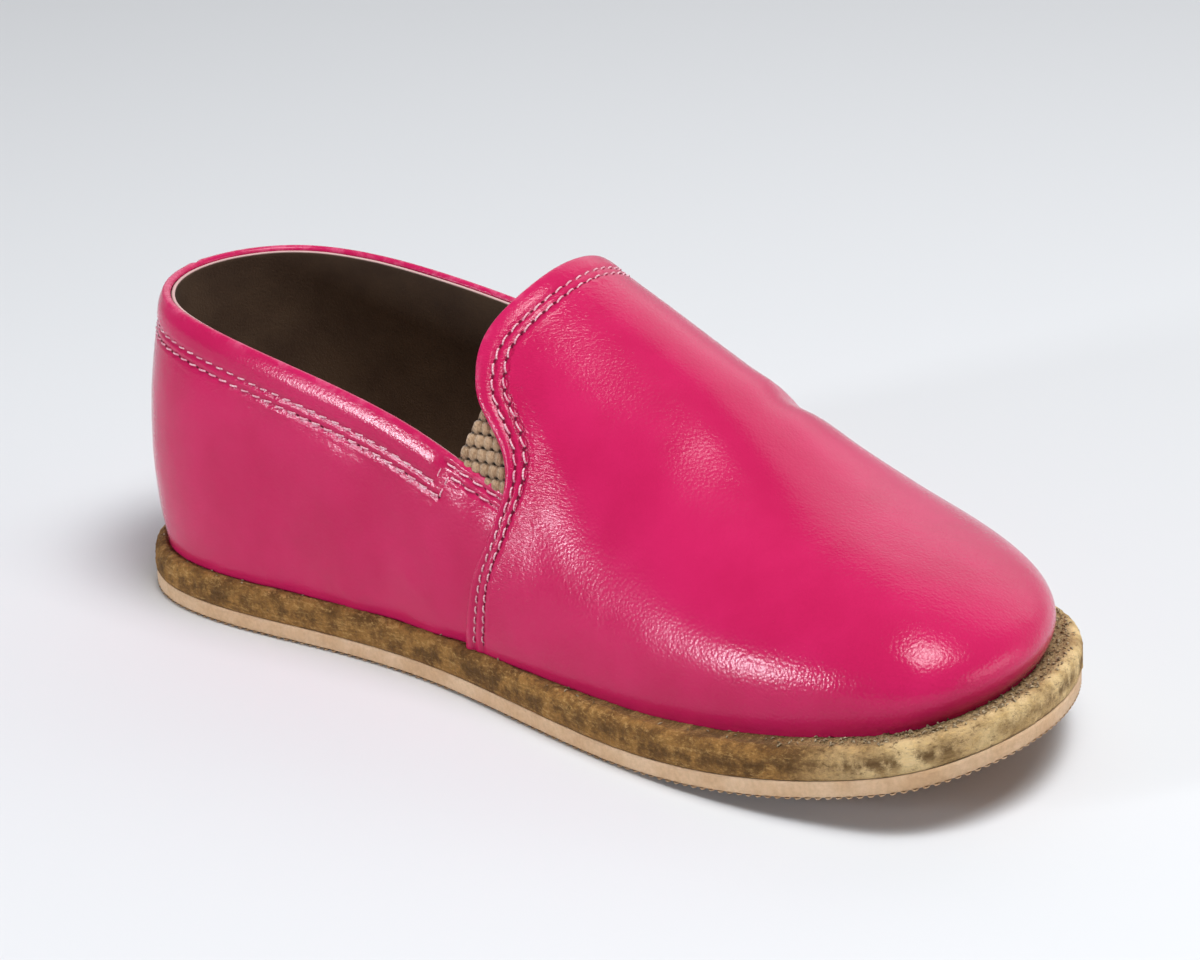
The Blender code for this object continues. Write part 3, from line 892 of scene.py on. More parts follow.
def slopes(face, a, b):
    """Derivatives of a face along its two coordinates, and its unit normal, outwards."""
    da, db = 0.05, 0.002
    along_a = (face(a + da, b) - face(a - da, b)) / (2 * da)
    along_b = (face(a, b + db) - face(a, b - db)) / (2 * db)
    return along_a, along_b, unit(np.cross(along_a, along_b))


def off_ridge(face, a, b, reach, limit):
    """Normals of a face, read a little beside the ridge where the front one closes at the toe."""
    close = (face is front_point) & (HALF - a < reach) & (np.abs(b) < limit)
    return slopes(face, a, np.where(close, np.where(b < 0, -limit, limit), b))[2]


def side_view(points):
    """(along, height) of points in millimetres."""
    return LENGTH / 2 - points[..., 1], points[..., 2]


def edge_at(w, line):
    """Position k where a face line of constant w meets an edge drawn in the side view as height, along."""
    k = np.full(np.shape(w), 20.0)
    for _ in range(40):
        along, height = side_view(front_point(k, w))
        k = k + 0.20 * (spline(line, 1, height) - along)
    return k


def even_points(face, a, b, count):
    """Coordinates spread evenly by real length along a curve on a face."""
    return evenly(face(a, b), (a, b), count)


def dot(a, b):
    return np.sum(a * b, axis=-1)


def walk(face, a, b, distance, keep=None):
    """Coordinates of lines walked square off an edge curve, one row for each WALK step."""
    heading = unit(np.cross(np.gradient(face(a, b), axis=0), slopes(face, a, b)[2]))
    rows = [(a, b)]
    for _ in range(int(round(distance / WALK))):
        along_a, along_b, normal = slopes(face, a, b)
        heading = unit(heading - normal * dot(heading, normal)[..., None])
        way = heading
        if keep is not None:
            weight = keep(b)[..., None]
            way = heading * (1 - weight) + unit(along_a) * weight
        aa, bb, ab = dot(along_a, along_a), dot(along_b, along_b), dot(along_a, along_b)
        ra, rb = dot(way, along_a), dot(way, along_b)
        det = aa * bb - ab * ab
        a, b = a + WALK * (ra * bb - rb * ab) / det, b + WALK * (rb * aa - ra * ab) / det
        rows.append((a, b))
    return np.array(rows).swapaxes(0, 1)


def on_band(band, j, distance):
    """Coordinates on a walked band at fractional columns and distances from the edge."""
    j, distance = np.broadcast_arrays(np.asarray(j, float), distance)
    i = np.clip(distance / WALK, 0, band.shape[1] - 1.001)
    j = np.clip(j, 0, band.shape[2] - 1.001)
    row, column = np.floor(i).astype(int), np.floor(j).astype(int)
    p, q = i - row, j - column
    near, far = (band[:, n, column] * (1 - q) + band[:, n, column + 1] * q for n in (row, row + 1))
    return near * (1 - p) + far * p


def folded_edge(radius, hem, width):
    """Distances from the edge and offsets from the face, as columns: the hem, the fold, and the band."""
    turn = np.radians(np.linspace(-90.0, 90.0, 11))
    rows = [(hem, -2 * radius), (hem * 0.6, -2 * radius), (radius * 1.8, -2 * radius)]
    rows += [(radius * (1 - np.cos(a)), radius * (np.sin(a) - 1)) for a in turn]
    rows += [(d, 0.0) for d in np.arange(1.0, width - 0.01, WALK)]
    return np.array(rows).T[..., None]


def pucker(distance, path, rows):
    """Lift of the leather near stitch rows, in millimetres, and the painted shade along the rows' troughs."""
    lift, dark = 0.0, 0.0
    height, beside, width = ROW_SIDES
    for row, phase in rows:
        off = distance - row
        beat = 0.5 + 0.5 * np.cos(2 * np.pi * (path / STITCH + phase))
        swell = height * bell(np.abs(off) - beside, width) * (0.4 + 0.6 * beat)
        lift = lift + swell - SUNK * bell(off, ROW_WIDTH)
        dark = dark + ROW_SHADING[0] * bell(off, ROW_SHADING[1])
    return lift, np.clip(dark, 0, 1)


def strained(base, off):
    """Fine unevenness at a distance from a stitch row."""
    return waves(base * (1.0, 1.0, 2.2), TIGHT) * bell(off, TIGHT_WIDTH)


def crease_lift(points, creases):
    """Soft troughs and ridges laid over the face, as listed."""
    along, medial = sole_view(points)
    lift = 0.0
    for at, across, heading, half_length, half_width, depth in creases:
        turn = np.radians(heading)
        x, y = along - at, medial - across
        run = x * np.cos(turn) + y * np.sin(turn)
        off = y * np.cos(turn) - x * np.sin(turn) + 0.012 * run * run
        lift = lift - depth * bell(off, half_width) * bell(run, half_length)
    return lift


def with_foot(points, normals, axis):
    """The face carried down past its feather line and turned under, at both ends of an axis."""
    ends = []
    for n in (0, -1):
        edge, flat = np.take(points, n, axis), np.take(normals, n, axis) * (1.0, 1.0, 0.0)
        ends.append([edge - (0.0, 0.0, drop) - flat * pull for drop, pull in FOOT_TUCK])
    return np.concatenate([np.stack(ends[0][::-1], axis), points, np.stack(ends[1], axis)], axis)


def hide_grain(where, creased):
    """Cells and pores of the hide, with broken lines where it is creased."""
    tree = where.tree
    drift = add_node(tree, "TexNoise", {"Vector": where, "Scale": 1.1, "Detail": 2.0}, "Color")
    drift = add_node(tree, "VectorMath", {0: drift, "Scale": 0.30}, operation="SCALE")
    moved = add_node(tree, "VectorMath", {0: where, 1: drift}, operation="ADD")
    cells = add_node(tree, "TexVoronoi", {"Vector": moved, "Scale": 1 / GRAIN_PITCH}, "Distance", feature="F1")
    small = moved.speckle(0.34, 2.0, 0.6)
    broken = add_node(tree, "VectorMath", {0: where, 1: (0.5, 0.5, 1.9)}, operation="MULTIPLY")
    lines = broken.speckle(0.46, 2.0, 0.6) * 4.2
    height = cells * -0.8 + small * -0.45 + where.speckle(0.17, 1.0) * 0.10 + creased * lines
    return {"Height": height, "Pores": small.ramp(0.58, 0.78)}


def hide_wear(where, edge):
    """Drift of the dye, rubbing along the edges, and dust."""
    return {"Cloud": where.speckle(17.0, 3.0, 0.55), "Dust": where.speckle(0.5, 4.0, 0.7).ramp(0.66, 0.78),
            "Rubbed": edge * where.speckle(3.2, 4.0, 0.65).ramp(0.46, 0.66)}


HIDE_GRAIN = new_group("hide_grain", hide_grain, "Creased")
HIDE_WEAR = new_group("hide_wear", hide_wear, "Edge")


def upper_leather():
    """Pink calf: dye under a thin glaze, fine grain, breaks near the seams, rubbed edges, and painted shade
    along the stitch rows.
    """
    material = new_material("pink_calf")
    seam, hole, edge, toe = masks_of(material, "seam", "hole", "edge", "toe")
    where = millimetres(material)
    tree = material.node_tree
    wear = add_node(tree, "Group", {"Vector": where, "Edge": edge}, None, node_tree=HIDE_WEAR)
    grain = add_node(tree, "Group", {"Vector": where, "Creased": seam}, None, node_tree=HIDE_GRAIN)
    cloud, rubbed = wear["Cloud"], wear["Rubbed"]
    # hole darkens the leather along the stitch rows as painted shade
    color = layered(cloud.ramp(0.3, 0.7).blend(*CALF), (grain["Pores"] * 0.12, CALF_PORE),
                    (rubbed * 0.35, CALF_RUBBED), (wear["Dust"] * 0.05, CALF_DUST),
                    (seam * 0.12, CALF_STRAINED), (hole * 0.92, CALF_ROW_SHADE))
    roughness = cloud.ramp(0.3, 0.7, 0.165, 0.215) + rubbed * 0.15
    return dress(material, {"Base Color": color, "Roughness": roughness, "Specular IOR Level": 0.23,
                            "Coat Weight": 0.04, "Coat Roughness": 0.20},
                 grain["Height"] * (toe * TOE_GRAIN + 1.0), GRAIN_DEPTH, ("Normal", "Coat Normal"))


def vamp_edge():
    """Walked band of the vamp's rear edge in face coordinates, even along each side."""
    w = np.linspace(-1.0, 0.0, 500)
    inner = even_points(front_point, edge_at(w, VAMP_EDGE), w, EDGE_POINTS)
    outer = even_points(front_point, edge_at(-w[::-1], VAMP_EDGE), -w[::-1], EDGE_POINTS)
    k, w = (np.append(a, b[1:]) for a, b in zip(inner, outer))
    band = walk(front_point, k, w, BAND, lambda w: 1 - smooth(1 - np.abs(w), 0.0, 0.10))
    band[1] = np.clip(band[1], -1.0, 1.0)
    return band


def toe_line():
    """Coordinates w of the vamp's columns where they end on the toe."""
    w = even_points(front_point, np.full(400, float(HALF)), np.linspace(-1.0, 0.0, 400), EDGE_POINTS)[1]
    return np.append(w, -w[-2::-1])


VAMP_BAND = vamp_edge()
VAMP_RIM = front_point(*VAMP_BAND[:, 0])
TOE_W = toe_line()


def vamp_rows_at(j):
    """Distances of the two stitch rows from the edge, at columns of the band."""
    height = np.interp(j, np.arange(len(VAMP_RIM)), VAMP_RIM[:, 2])
    first = spline(VAMP_ROWS, 1, height)
    return first, first + spline(VAMP_ROWS, 2, height)


def make_vamp():
    j = np.arange(len(VAMP_RIM))
    far, offset = folded_edge(RIM, BAND - 0.6, BAND)
    k, w = on_band(VAMP_BAND, j, far)
    last_k, last_w = on_band(VAMP_BAND, j, BAND - WALK)
    t = np.linspace(0.0, 1.0, FRONT_ROWS + 1)[1:, None]
    k = np.concatenate([k, last_k * (1 - t) + HALF * t])
    w = np.concatenate([w, last_w + (TOE_W - last_w) * (smooth(t, 0.0, 1.0) + t) / 2])
    base, normal = front_point(k, w), off_ridge(front_point, k, w, 0.4, 0.03)
    far, offset = np.concatenate([far, BAND + 60.0 * t]), np.concatenate([offset, 0 * t])
    outer = smooth(offset, -0.9, 0.0)
    first, second = vamp_rows_at(j)
    lift, hole = pucker(far, lengths(VAMP_RIM), ((first, 0.0), (second, 0.37)))
    puff, middle, width = PUFF
    lift = (lift + puff * bell(far - middle * first, width * first)) * outer + LAP * bell(far, LAP_WIDTH)
    height, spread, width = PULL_PLACE
    drawn = bell(base[..., 2] - height, spread) * (base[..., 0] < 0)
    lift -= PULL * drawn * bell(far - second, width) * smooth(far, 0.5, second)
    lift += (crease_lift(base, CREASES) + waves(base, *VAMP_WAVES)) * smooth(far, *FREE)
    lift += strained(base, far - second) * outer
    points = with_foot(base + normal * (offset + lift)[..., None], normal, 1)
    beyond, width = BROKEN
    beside = bell(far - second - beyond, width) * (1 - 0.75 * smooth(np.abs(w), 0.72, 0.93))
    masks = {"seam": np.clip(beside * outer, 0, 1), "hole": hole * outer, "edge": bell(far, 0.7) + 0 * w,
             "toe": smooth(side_view(base)[0], *TOE_RANGE)}
    # The two halves of the last row meet on the toe, and become one row of points
    index = grid(*points.shape[:2])
    middle = index.shape[1] // 2
    index[-1, middle + 1:] = index[-1, middle - 1::-1]
    used, faces = np.unique(quads(index), return_inverse=True)
    wide = ((0, 0), (len(FOOT_TUCK),) * 2)
    masks = {key: np.pad(values, wide, mode="edge").ravel()[used] for key, values in masks.items()}
    mesh_piece("vamp_leather", points.reshape(-1, 3)[used], faces.reshape(-1, 4).tolist(), upper_leather(),
               ["upper"], masks)


make_vamp()


# ----------------------------------------------------------------------------------------- quarters
# The back of the upper, of the same calf: it runs from under the vamp round the heel and closes in a
# plain seam at the back. Its top is folded over and held by two rows of stitch that leave a soft round
# collar, and square off towards the edge in front of the elastic.

# Top edge seen from the side: along, height
QUARTER_TOP = [(-8, 50.6), (5, 50.6), (20, 49.4), (40, 46.4), (58, 42.8), (67, 40.3), (75.5, 37.2),
               (84.8, 33.8), (94, 30.5)]
QUARTER_FRONT = 89.5        # along, where the quarters end under the vamp
QUARTER_COLUMNS = 430
QUARTER_BAND = 9.0
QUARTER_DOWN = 62           # rows from the band to the foot
QUARTER_RIM = 0.62
# Stitch rows of the collar: along, first row and second row below the edge
COLLAR_ROWS = [(-10, 5.2, 6.8), (73.9, 5.2, 6.8), (74, 1.35, 6.8), (75.5, 1.35, 6.8), (75.6, 1.4, 2.8),
               (90, 1.6, 3)]
COLLAR_CORNERS = [(74.0, 73.9), (75.6, 75.5)]   # where each row turns, along
COLLAR_PUFF = (0.42, 2.55, 2.15)        # height, distance from the edge, width of the round collar
QUARTER_CREASES = [
    (62, 24, 75, 9, 3, 0.22), (52, 23, 95, 10, 4, -0.22), (40, 23, 85, 12, 5, 0.25),
    (64, -29, 100, 9, 3.4, 0.26), (50, -30, 85, 10, 4, -0.24), (34, -28, 95, 10, 5, 0.22),
]
QUARTER_WAVES = (0.12, 11.0, 3.0), (0.05, 4.0, 9.0)
BACK_SEAM_DEPTH = 0.45
BACK_SEAM_WIDTH = 0.55
BACK_SEAM_SIDES = (0.12, 1.5, 0.8)      # swelling beside it: height, distance, width
RING_STEP = 4.0             # millimetres in one ring position near the heel
# How the leather sinks under the vamp: depth, and the range behind the vamp's edge over which it does
UNDER_VAMP = (0.78, 0.2, 9.0), (0.45, -2.6, -0.6)


def quarter_top(u):
    """Fraction of the rib at which each ring position meets the top edge."""
    low, high = np.zeros(np.shape(u)), np.full(np.shape(u), 0.97)
    for _ in range(40):
        v = (low + high) / 2
        along, height = side_view(rib_point(u, v))
        below = height < spline(QUARTER_TOP, 1, along)
        low, high = np.where(below, v, low), np.where(below, high, v)
    return (low + high) / 2


def front_limit(sign):
    """Ring position at which the quarters end, on the inner (+1) or outer (-1) side."""
    u = np.linspace(5.0, 35.0, 400) * sign
    return np.interp(QUARTER_FRONT, side_view(rib_point(u, 0.2))[0], u)


def quarter_edge():
    """Walked band of the quarters' top edge, from the outer side round the heel to the inner."""
    u = np.linspace(front_limit(-1), front_limit(1), 1600)
    return walk(rib_point, *even_points(rib_point, u, quarter_top(u), QUARTER_COLUMNS), QUARTER_BAND)


QUARTER_WALK = quarter_edge()
QUARTER_LINE = rib_point(*QUARTER_WALK[:, 0])


def collar_rows_at(j):
    """Distances of the two stitch rows from the edge, at columns of the band."""
    along = np.interp(j, np.arange(len(QUARTER_LINE)), side_view(QUARTER_LINE)[0])
    at, first, second = np.transpose(COLLAR_ROWS)
    return np.interp(along, at, first), np.interp(along, at, second)


def under_vamp(points):
    """How far points lie behind the rear edge of the vamp, negative under it."""
    along, height = side_view(points)
    return spline(VAMP_EDGE, 1, height) - along


def seat_under_vamp(points):
    """Offset that brings the leather down to lie under the lapped edge of the vamp."""
    behind = under_vamp(points)
    return sum(depth * (smooth(behind, low, high) - 1) for depth, low, high in UNDER_VAMP)


def make_quarters():
    j = np.arange(QUARTER_COLUMNS)
    far, offset = folded_edge(QUARTER_RIM, QUARTER_BAND - 0.8, QUARTER_BAND)
    u, v = on_band(QUARTER_WALK, j, far)
    last_u, last_v = on_band(QUARTER_WALK, j, QUARTER_BAND - WALK)
    t = np.linspace(0.0, 1.0, QUARTER_DOWN + 1)[1:, None]
    u = np.concatenate([u, last_u + (QUARTER_WALK[0, 0] - last_u) * smooth(t, 0.0, 0.5)])
    v = np.concatenate([v, last_v * (1 - t)])
    base, normal = rib_point(u, v), slopes(rib_point, u, v)[2]
    far, offset = np.concatenate([far, QUARTER_BAND + 30.0 * t]), np.concatenate([offset, 0 * t])
    outer = smooth(offset, -0.9, 0.0)
    first, second = collar_rows_at(j)
    lift, hole = pucker(far, lengths(QUARTER_LINE), ((first, 0.0), (second, 0.42)))
    puff, at, width = COLLAR_PUFF
    turned, straight = COLLAR_CORNERS[0]
    puff *= bell(far - at, width) * (1 - smooth(side_view(QUARTER_LINE)[0], straight - 1.6, turned + 0.8))
    across = RING_STEP * np.abs(u)
    height, beside, spread = BACK_SEAM_SIDES
    seam = height * bell(across - beside, spread) - BACK_SEAM_DEPTH * bell(across, BACK_SEAM_WIDTH)
    lift = (lift + puff + strained(base, far - second) + seam) * outer
    lift += crease_lift(base, QUARTER_CREASES) * smooth(far, 6.5, 12.0)
    lift += waves(base, *QUARTER_WAVES) * smooth(far, *FREE) + seat_under_vamp(base)
    offset = offset * (0.45 + 0.55 * smooth(under_vamp(base), -2.5, -0.3))
    masks = {"seam": np.clip(0.45 * bell(far - second, 3.0) * outer + 0.8 * bell(u, 0.9), 0, 1),
             "hole": hole * outer, "edge": bell(far, 0.7) + 0 * u}
    # The foot is turned under at the lower end only
    extra = len(FOOT_TUCK)
    points = with_foot(base + normal * (offset + lift)[..., None], normal, 0)[extra:]
    masks = {key: np.pad(values, ((0, extra), (0, 0)), mode="edge") for key, values in masks.items()}
    mesh_piece("quarters_leather", points, quads(grid(*points.shape[:2])), bpy.data.materials["pink_calf"],
               ["upper"], masks)


make_quarters()


# ------------------------------------------------------------------------------------------- lining
# Thin undyed leather inside the whole upper, stitched in with the same two rows. Its cut edge shows as
# a pale line just inside the folded top of the outer leather.

LINING_FACE = 1.35          # from the outer face of the upper to the back of the lining
LINING_INNER = 2.0
LINING_TUCK = 0.30          # how far its edge stands below the fold
LINING_SEAT = 0.45          # how much of the leather's dip under the vamp it follows
# Cut edge: distance from the edge, offset from the face
LINING_EDGE = [(0.30, -LINING_FACE), (0.12, -1.45), (0.05, -1.62), (0.05, -1.80), (0.14, -1.95),
               (0.32, -LINING_INNER)]
LINING_WAVE = (0.06, 7.0, 13.0)
LINING_HIDE = (13.0, 0.45, 0.65, 0.70)
# dark brown of the lining: the leather's tone, darkened further as painted shade inside the shoe
LINING_WITH_SHADE = (0.060, 0.030, 0.015), (0.096, 0.054, 0.028)
LINING_PORE = (0.076, 0.040, 0.020)
LINING_CUT = (0.620, 0.400, 0.370)


def lining_material():
    material = new_material("lining_leather")
    cut, = masks_of(material, "cut")
    drift, grain, roughness = matt_leather(material, *LINING_HIDE)
    color = layered(drift.blend(*LINING_WITH_SHADE), (grain.ramp(0.5, 0.75, 0.0, 0.3), LINING_PORE), (cut, LINING_CUT))
    return dress(material, {"Base Color": color, "Roughness": roughness}, grain, 0.10)


def make_lining(name, face, band, down, material):
    """Lining behind one piece of the upper: the cut edge, then the inner face down to the foot or the toe."""
    edge = by_length(LINING_EDGE, 9)
    distance = np.append(edge[:, 0], np.arange(0.8, 6.9, 0.6)) + LINING_TUCK
    count = band.shape[2]
    columns = np.unique(np.append(np.arange(0, count, 3), [count // 2, count - 1]))
    a, b = np.concatenate([on_band(band, columns, distance[:, None]), down[:, :, columns]], axis=1)
    offset = np.append(edge[:, 1], np.full(len(a) - len(edge), -LINING_INNER))[:, None]
    base = face(a, b)
    if face is rib_point:
        offset = offset + LINING_SEAT * seat_under_vamp(base) * smooth(under_vamp(base), -11.0, -4.0)
    cut = smooth(-offset, LINING_FACE, LINING_FACE + 0.1) * (1 - smooth(-offset, 1.86, 1.98)) + 0 * a
    points = base + off_ridge(face, a, b, 0.8, 0.05) * (offset + waves(base, LINING_WAVE))[..., None]
    mesh_piece(name, points, quads(grid(*a.shape)), material, [], {"cut": cut})


def make_linings():
    material = lining_material()
    t = np.linspace(0.0, 1.0, 41)[1:, None]
    k, w = VAMP_BAND[:, -1]
    down = np.array([k * (1 - t) + HALF * t, w + (TOE_W - w) * t])
    make_lining("lining_vamp", front_point, VAMP_BAND, down, material)
    t = np.linspace(0.0, 1.0, 21)[1:, None]
    u, v = QUARTER_WALK[:, -1]
    down = np.array([u + (QUARTER_WALK[0, 0] - u) * t, v * (1 - t)])
    make_lining("lining_quarters", rib_point, QUARTER_WALK, down, material)


make_linings()


# -------------------------------------------------------------------------------------------- gores
# A piece of coarse natural elastic each side of the tongue, sewn in under the vamp and the quarters. The
# thick weft loops over rubber cords in rows of plump lobes, with pits between, and turns back in a
# small loop at the free edge. The pits and the valleys between lobes are painted dark as shade.

GORE = 1.2
GORE_SET_BACK = 0.55
GORE_CORNER = (75.5, 37.2)  # along, height, where the free edge meets the collar
GORE_TURN = 20.1            # degrees the weft falls towards the toe
GORE_FREE = -0.35           # free edge, measured along the weft from the corner
LOBE_WIDE = 1.44
LOBE_TALL = 2.06
LOBE_RISE = 1.1
LOBE_LEAN = 0.5             # how far a lobe leans from top to foot, in widths of a lobe
PLIES = (1.6, 4.0)          # twists of the yarn across and down a lobe
LOOP = 0.34                 # how far the loops stand out along the free edge
BULGE = (0.10, 8.0)         # how far the free edge bows out, and over what height
ROW_RISE = 0.364            # how far the rows of lobes climb along the weft
HIDDEN_THICKNESS = 0.10     # share of its thickness left where it is clamped in the seams
HIDDEN_DEPTH = 0.62
GORE_STEP = 0.13
GORE_LONG = 13.2            # along the weft
GORE_DROP = 3.2             # below the quarters' edge
GORE_UP = 11.0
GORE_BACK = (1.0, 0.7, 0.45, 0.25, 0.12, 0.06)      # mesh columns of the back, as shares of its length
ELASTIC = (0.290, 0.165, 0.084), (0.415, 0.256, 0.142)
ELASTIC_YARN = (0.650, 0.465, 0.300)
ELASTIC_DARK = (0.200, 0.120, 0.060)
# painted shade in the pits and the valleys between lobes
ELASTIC_PIT_SHADE = (0.028, 0.013, 0.007)


def side_to_face(along, height, sign):
    """Face coordinates (k, w) of side-view points on the inner (-1) or outer (+1) side."""
    k, w = np.clip((along + 3.0) / 4.1, 8.0, 30.0), np.full(np.shape(along), 0.45 * sign)
    for _ in range(14):
        at, level = side_view(front_point(k, w))
        along_a, along_b, _ = slopes(front_point, k, w)
        ds, dz = along - at, height - level
        ka, kz, wa, wz = -along_a[..., 1], along_a[..., 2], -along_b[..., 1], along_b[..., 2]
        det = ka * wz - kz * wa
        k = np.clip(k + 0.8 * (ds * wz - dz * wa) / det, 4.0, 36.0)
        w = np.clip((w + 0.8 * (ka * dz - kz * ds) / det) * sign, 0.01, 0.99) * sign
    return k, w


def weave(p, q):
    """Height of the woven face, the painted shade of its pits and of the valleys between lobes, and which lobe
    each point is on.
    """
    y = (q - ROW_RISE * p) / LOBE_TALL
    lobe = np.floor(y)
    y = y - lobe - 0.5
    x = p / LOBE_WIDE + LOBE_LEAN * y
    column = np.maximum(np.floor(x), 0)
    x = x - column - 0.5
    pit = bell(np.abs(x) - 0.5, 0.24) * smooth(-y, 0.20, 0.44)
    body = np.clip((1 - (x / 0.56) ** 2) * (1 - (np.abs(y) / 0.515) ** 2.6) - 0.2 * pit, 0, 1)
    twist = 0.06 * np.sin(2 * np.pi * (x * PLIES[0] + y * PLIES[1]))
    # dark: painted shade in the pits and at the edges of the lobes
    dark = np.clip(smooth(pit, 0.15, 0.80) + 0.48 * (1 - body) ** 3, 0, 1)
    return body**0.5 + twist * body, dark, column * 7.31 + lobe * 3.17


def gore_material():
    material = new_material("woven_elastic")
    pit, shade, p, q = masks_of(material, "pit", "shade", "p", "q")
    ply = add_node(material.node_tree, "CombineXYZ", {"X": p + q * 0.6, "Y": q * 0.35})
    yarn, fuzz = ply.speckle(0.20, 3.0, 0.6), millimetres(material).speckle(0.12, 3.0)
    color = layered(shade.blend(*ELASTIC), (yarn.ramp(0.35, 0.65, 0.0, 0.45), ELASTIC_YARN),
                    (fuzz.ramp(0.55, 0.8, 0.0, 0.3), ELASTIC_DARK), (pit * 0.94, ELASTIC_PIT_SHADE))
    return dress(material, {"Base Color": color, "Roughness": 0.82, "Specular IOR Level": 0.25,
                            "Sheen Weight": 0.3, "Sheen Roughness": 0.5}, yarn + fuzz * 0.4, 0.14)


def make_gore(name, node, sign, material):
    """One gore: its back, the free edge turned round in small loops, and the woven face."""
    turn, half = np.radians(np.linspace(-90.0, 90.0, 9)), GORE / 2
    reach = np.concatenate([GORE_LONG * np.array(GORE_BACK), half * (1 - np.cos(turn)),
                            np.arange(half + GORE_STEP, GORE_LONG, GORE_STEP)])
    level = np.concatenate([np.full(len(GORE_BACK), -GORE), half * (np.sin(turn) - 1)])
    level = np.append(level, np.zeros(len(reach) - len(level)))
    q = np.arange(-GORE_DROP, GORE_UP, GORE_STEP)[:, None]
    loop = LOOP * np.abs(np.sin(np.pi * q / LOBE_TALL)) ** 0.7
    bulge = BULGE[0] * np.sin(np.pi * np.clip(q / BULGE[1], 0, 1))
    p = GORE_FREE - bulge + (reach - loop * np.exp(-reach))
    q = np.broadcast_to(q, p.shape)
    fall = np.radians(GORE_TURN)
    along = GORE_CORNER[0] + p * np.cos(fall) + q * np.sin(fall)
    height = GORE_CORNER[1] - p * np.sin(fall) + q * np.cos(fall)
    k, w = side_to_face(along, height, sign)
    base, normal = front_point(k, w), slopes(front_point, k, w)[2]
    relief, pit, lobe = weave(p - GORE_FREE, q)
    outer = smooth(level, -GORE, -0.1)
    shown = smooth(under_vamp(base), -2.0, -0.3) * smooth(q, -1.6, -0.2)
    lift = level * (HIDDEN_THICKNESS + (1 - HIDDEN_THICKNESS) * shown) - GORE_SET_BACK
    lift += LOBE_RISE * (relief - 0.75) * outer * shown - HIDDEN_DEPTH * (1 - shown)
    points = base + normal * lift[..., None]
    masks = {"pit": pit * outer, "shade": np.mod(np.sin(lobe) * 43.7, 1.0), "p": p, "q": q}
    # The rows run the other way on the outer side, so that its faces look outwards too
    mesh_piece(name, points[:, ::-sign], quads(grid(*p.shape)), material, [node],
               {key: values[:, ::-sign] for key, values in masks.items()})


def make_gores():
    material = gore_material()
    make_gore("gore_medial_elastic", "gore_medial", -1, material)
    make_gore("gore_lateral_elastic", "gore_lateral", 1, material)


make_gores()


# ----------------------------------------------------------------------------------------- stitches
# Waxed pink-white thread, twisted from three plies and sewn in lock stitch. Each stitch comes up out of
# one needle hole, lies a little askew and dives into the next.

THREAD = 0.132              # radius of the thread
THREAD_SIDES = 7
THREAD_SHAPE = (1.08, 0.92)     # how much wider and flatter than round it lies
PLY_PITCH = 0.42
# One stitch from hole to hole: part of the way, height over the leather
STITCH_ARC = [(0.11, -0.55), (0.16, -0.24), (0.24, 0), (0.35, 0.11), (0.50, 0.15), (0.65, 0.11), (0.76, 0),
              (0.84, -0.24), (0.89, -0.55)]
ASKEW = 0.17                # how far a stitch starts above its row and ends below it
# Each needle hole is a flat painted dark as the shade inside it
HOLE = (0.31, 0.21)         # half length and half width of a needle hole
HOLE_SIDES = 12
HOLE_LIFT = 0.10            # how far the dark of a hole stands over the sunk leather
LOW_STITCH = 0.74           # length of the stitches near the sole against those above
SETTLED = 0.08              # how far the thread lies below the leather's own height
THREAD_TINT = (0.740, 0.330, 0.410), (0.860, 0.540, 0.590)
# painted shade in the grooves between the plies
THREAD_GROOVE_SHADE = (0.520, 0.190, 0.245)
# painted shade of the needle holes, and of the thread where it dives into them
THREAD_HOLE_SHADE = (0.120, 0.003, 0.020)


def thread_material():
    material = new_material("waxed_thread")
    ply, dive = masks_of(material, "ply", "dive")
    twist = (ply * 3.14159).calc("SINE").calc("ABSOLUTE")
    tint = millimetres(material).speckle(2.0).ramp(0.35, 0.65)
    # the grooves between the plies are painted darker as shade
    color = layered(tint.blend(*THREAD_TINT), ((twist * -1.0 + 1.0) * 0.5, THREAD_GROOVE_SHADE),
                    # dive: painted shade of the holes and of the thread diving into them
                    (dive.ramp(0.3, 1.0), THREAD_HOLE_SHADE))
    return dress(material, {"Base Color": color, "Roughness": 0.7, "Specular IOR Level": 0.12}, twist, 0.06)


def stitch_path(face, band, turns, distance_at):
    """Needle holes a stitch apart between the turns of one row: fractional columns and distances."""
    j = np.linspace(0, band.shape[2] - 1, 8000)
    points = face(*on_band(band, j, distance_at(j)))
    pitch = STITCH * (LOW_STITCH + (1 - LOW_STITCH) * smooth(points[1:, 2], 20.0, 36.0))
    run = np.concatenate([[0.0], np.cumsum(np.diff(lengths(points)) / pitch)])
    stops = np.interp(turns, j, run)
    at = [stops[:1]]
    for low, high in zip(stops, stops[1:]):
        count = max(1, round(high - low))
        at.append(low + np.arange(1, count + 1) * (high - low) / count)
    columns = np.interp(np.concatenate(at), run, j)
    return columns, distance_at(columns)


def turns_of(sides):
    """Cosines and sines of the corners of a ring, as columns."""
    angle = np.arange(sides) * 2 * np.pi / sides
    return np.cos(angle)[:, None], np.sin(angle)[:, None]


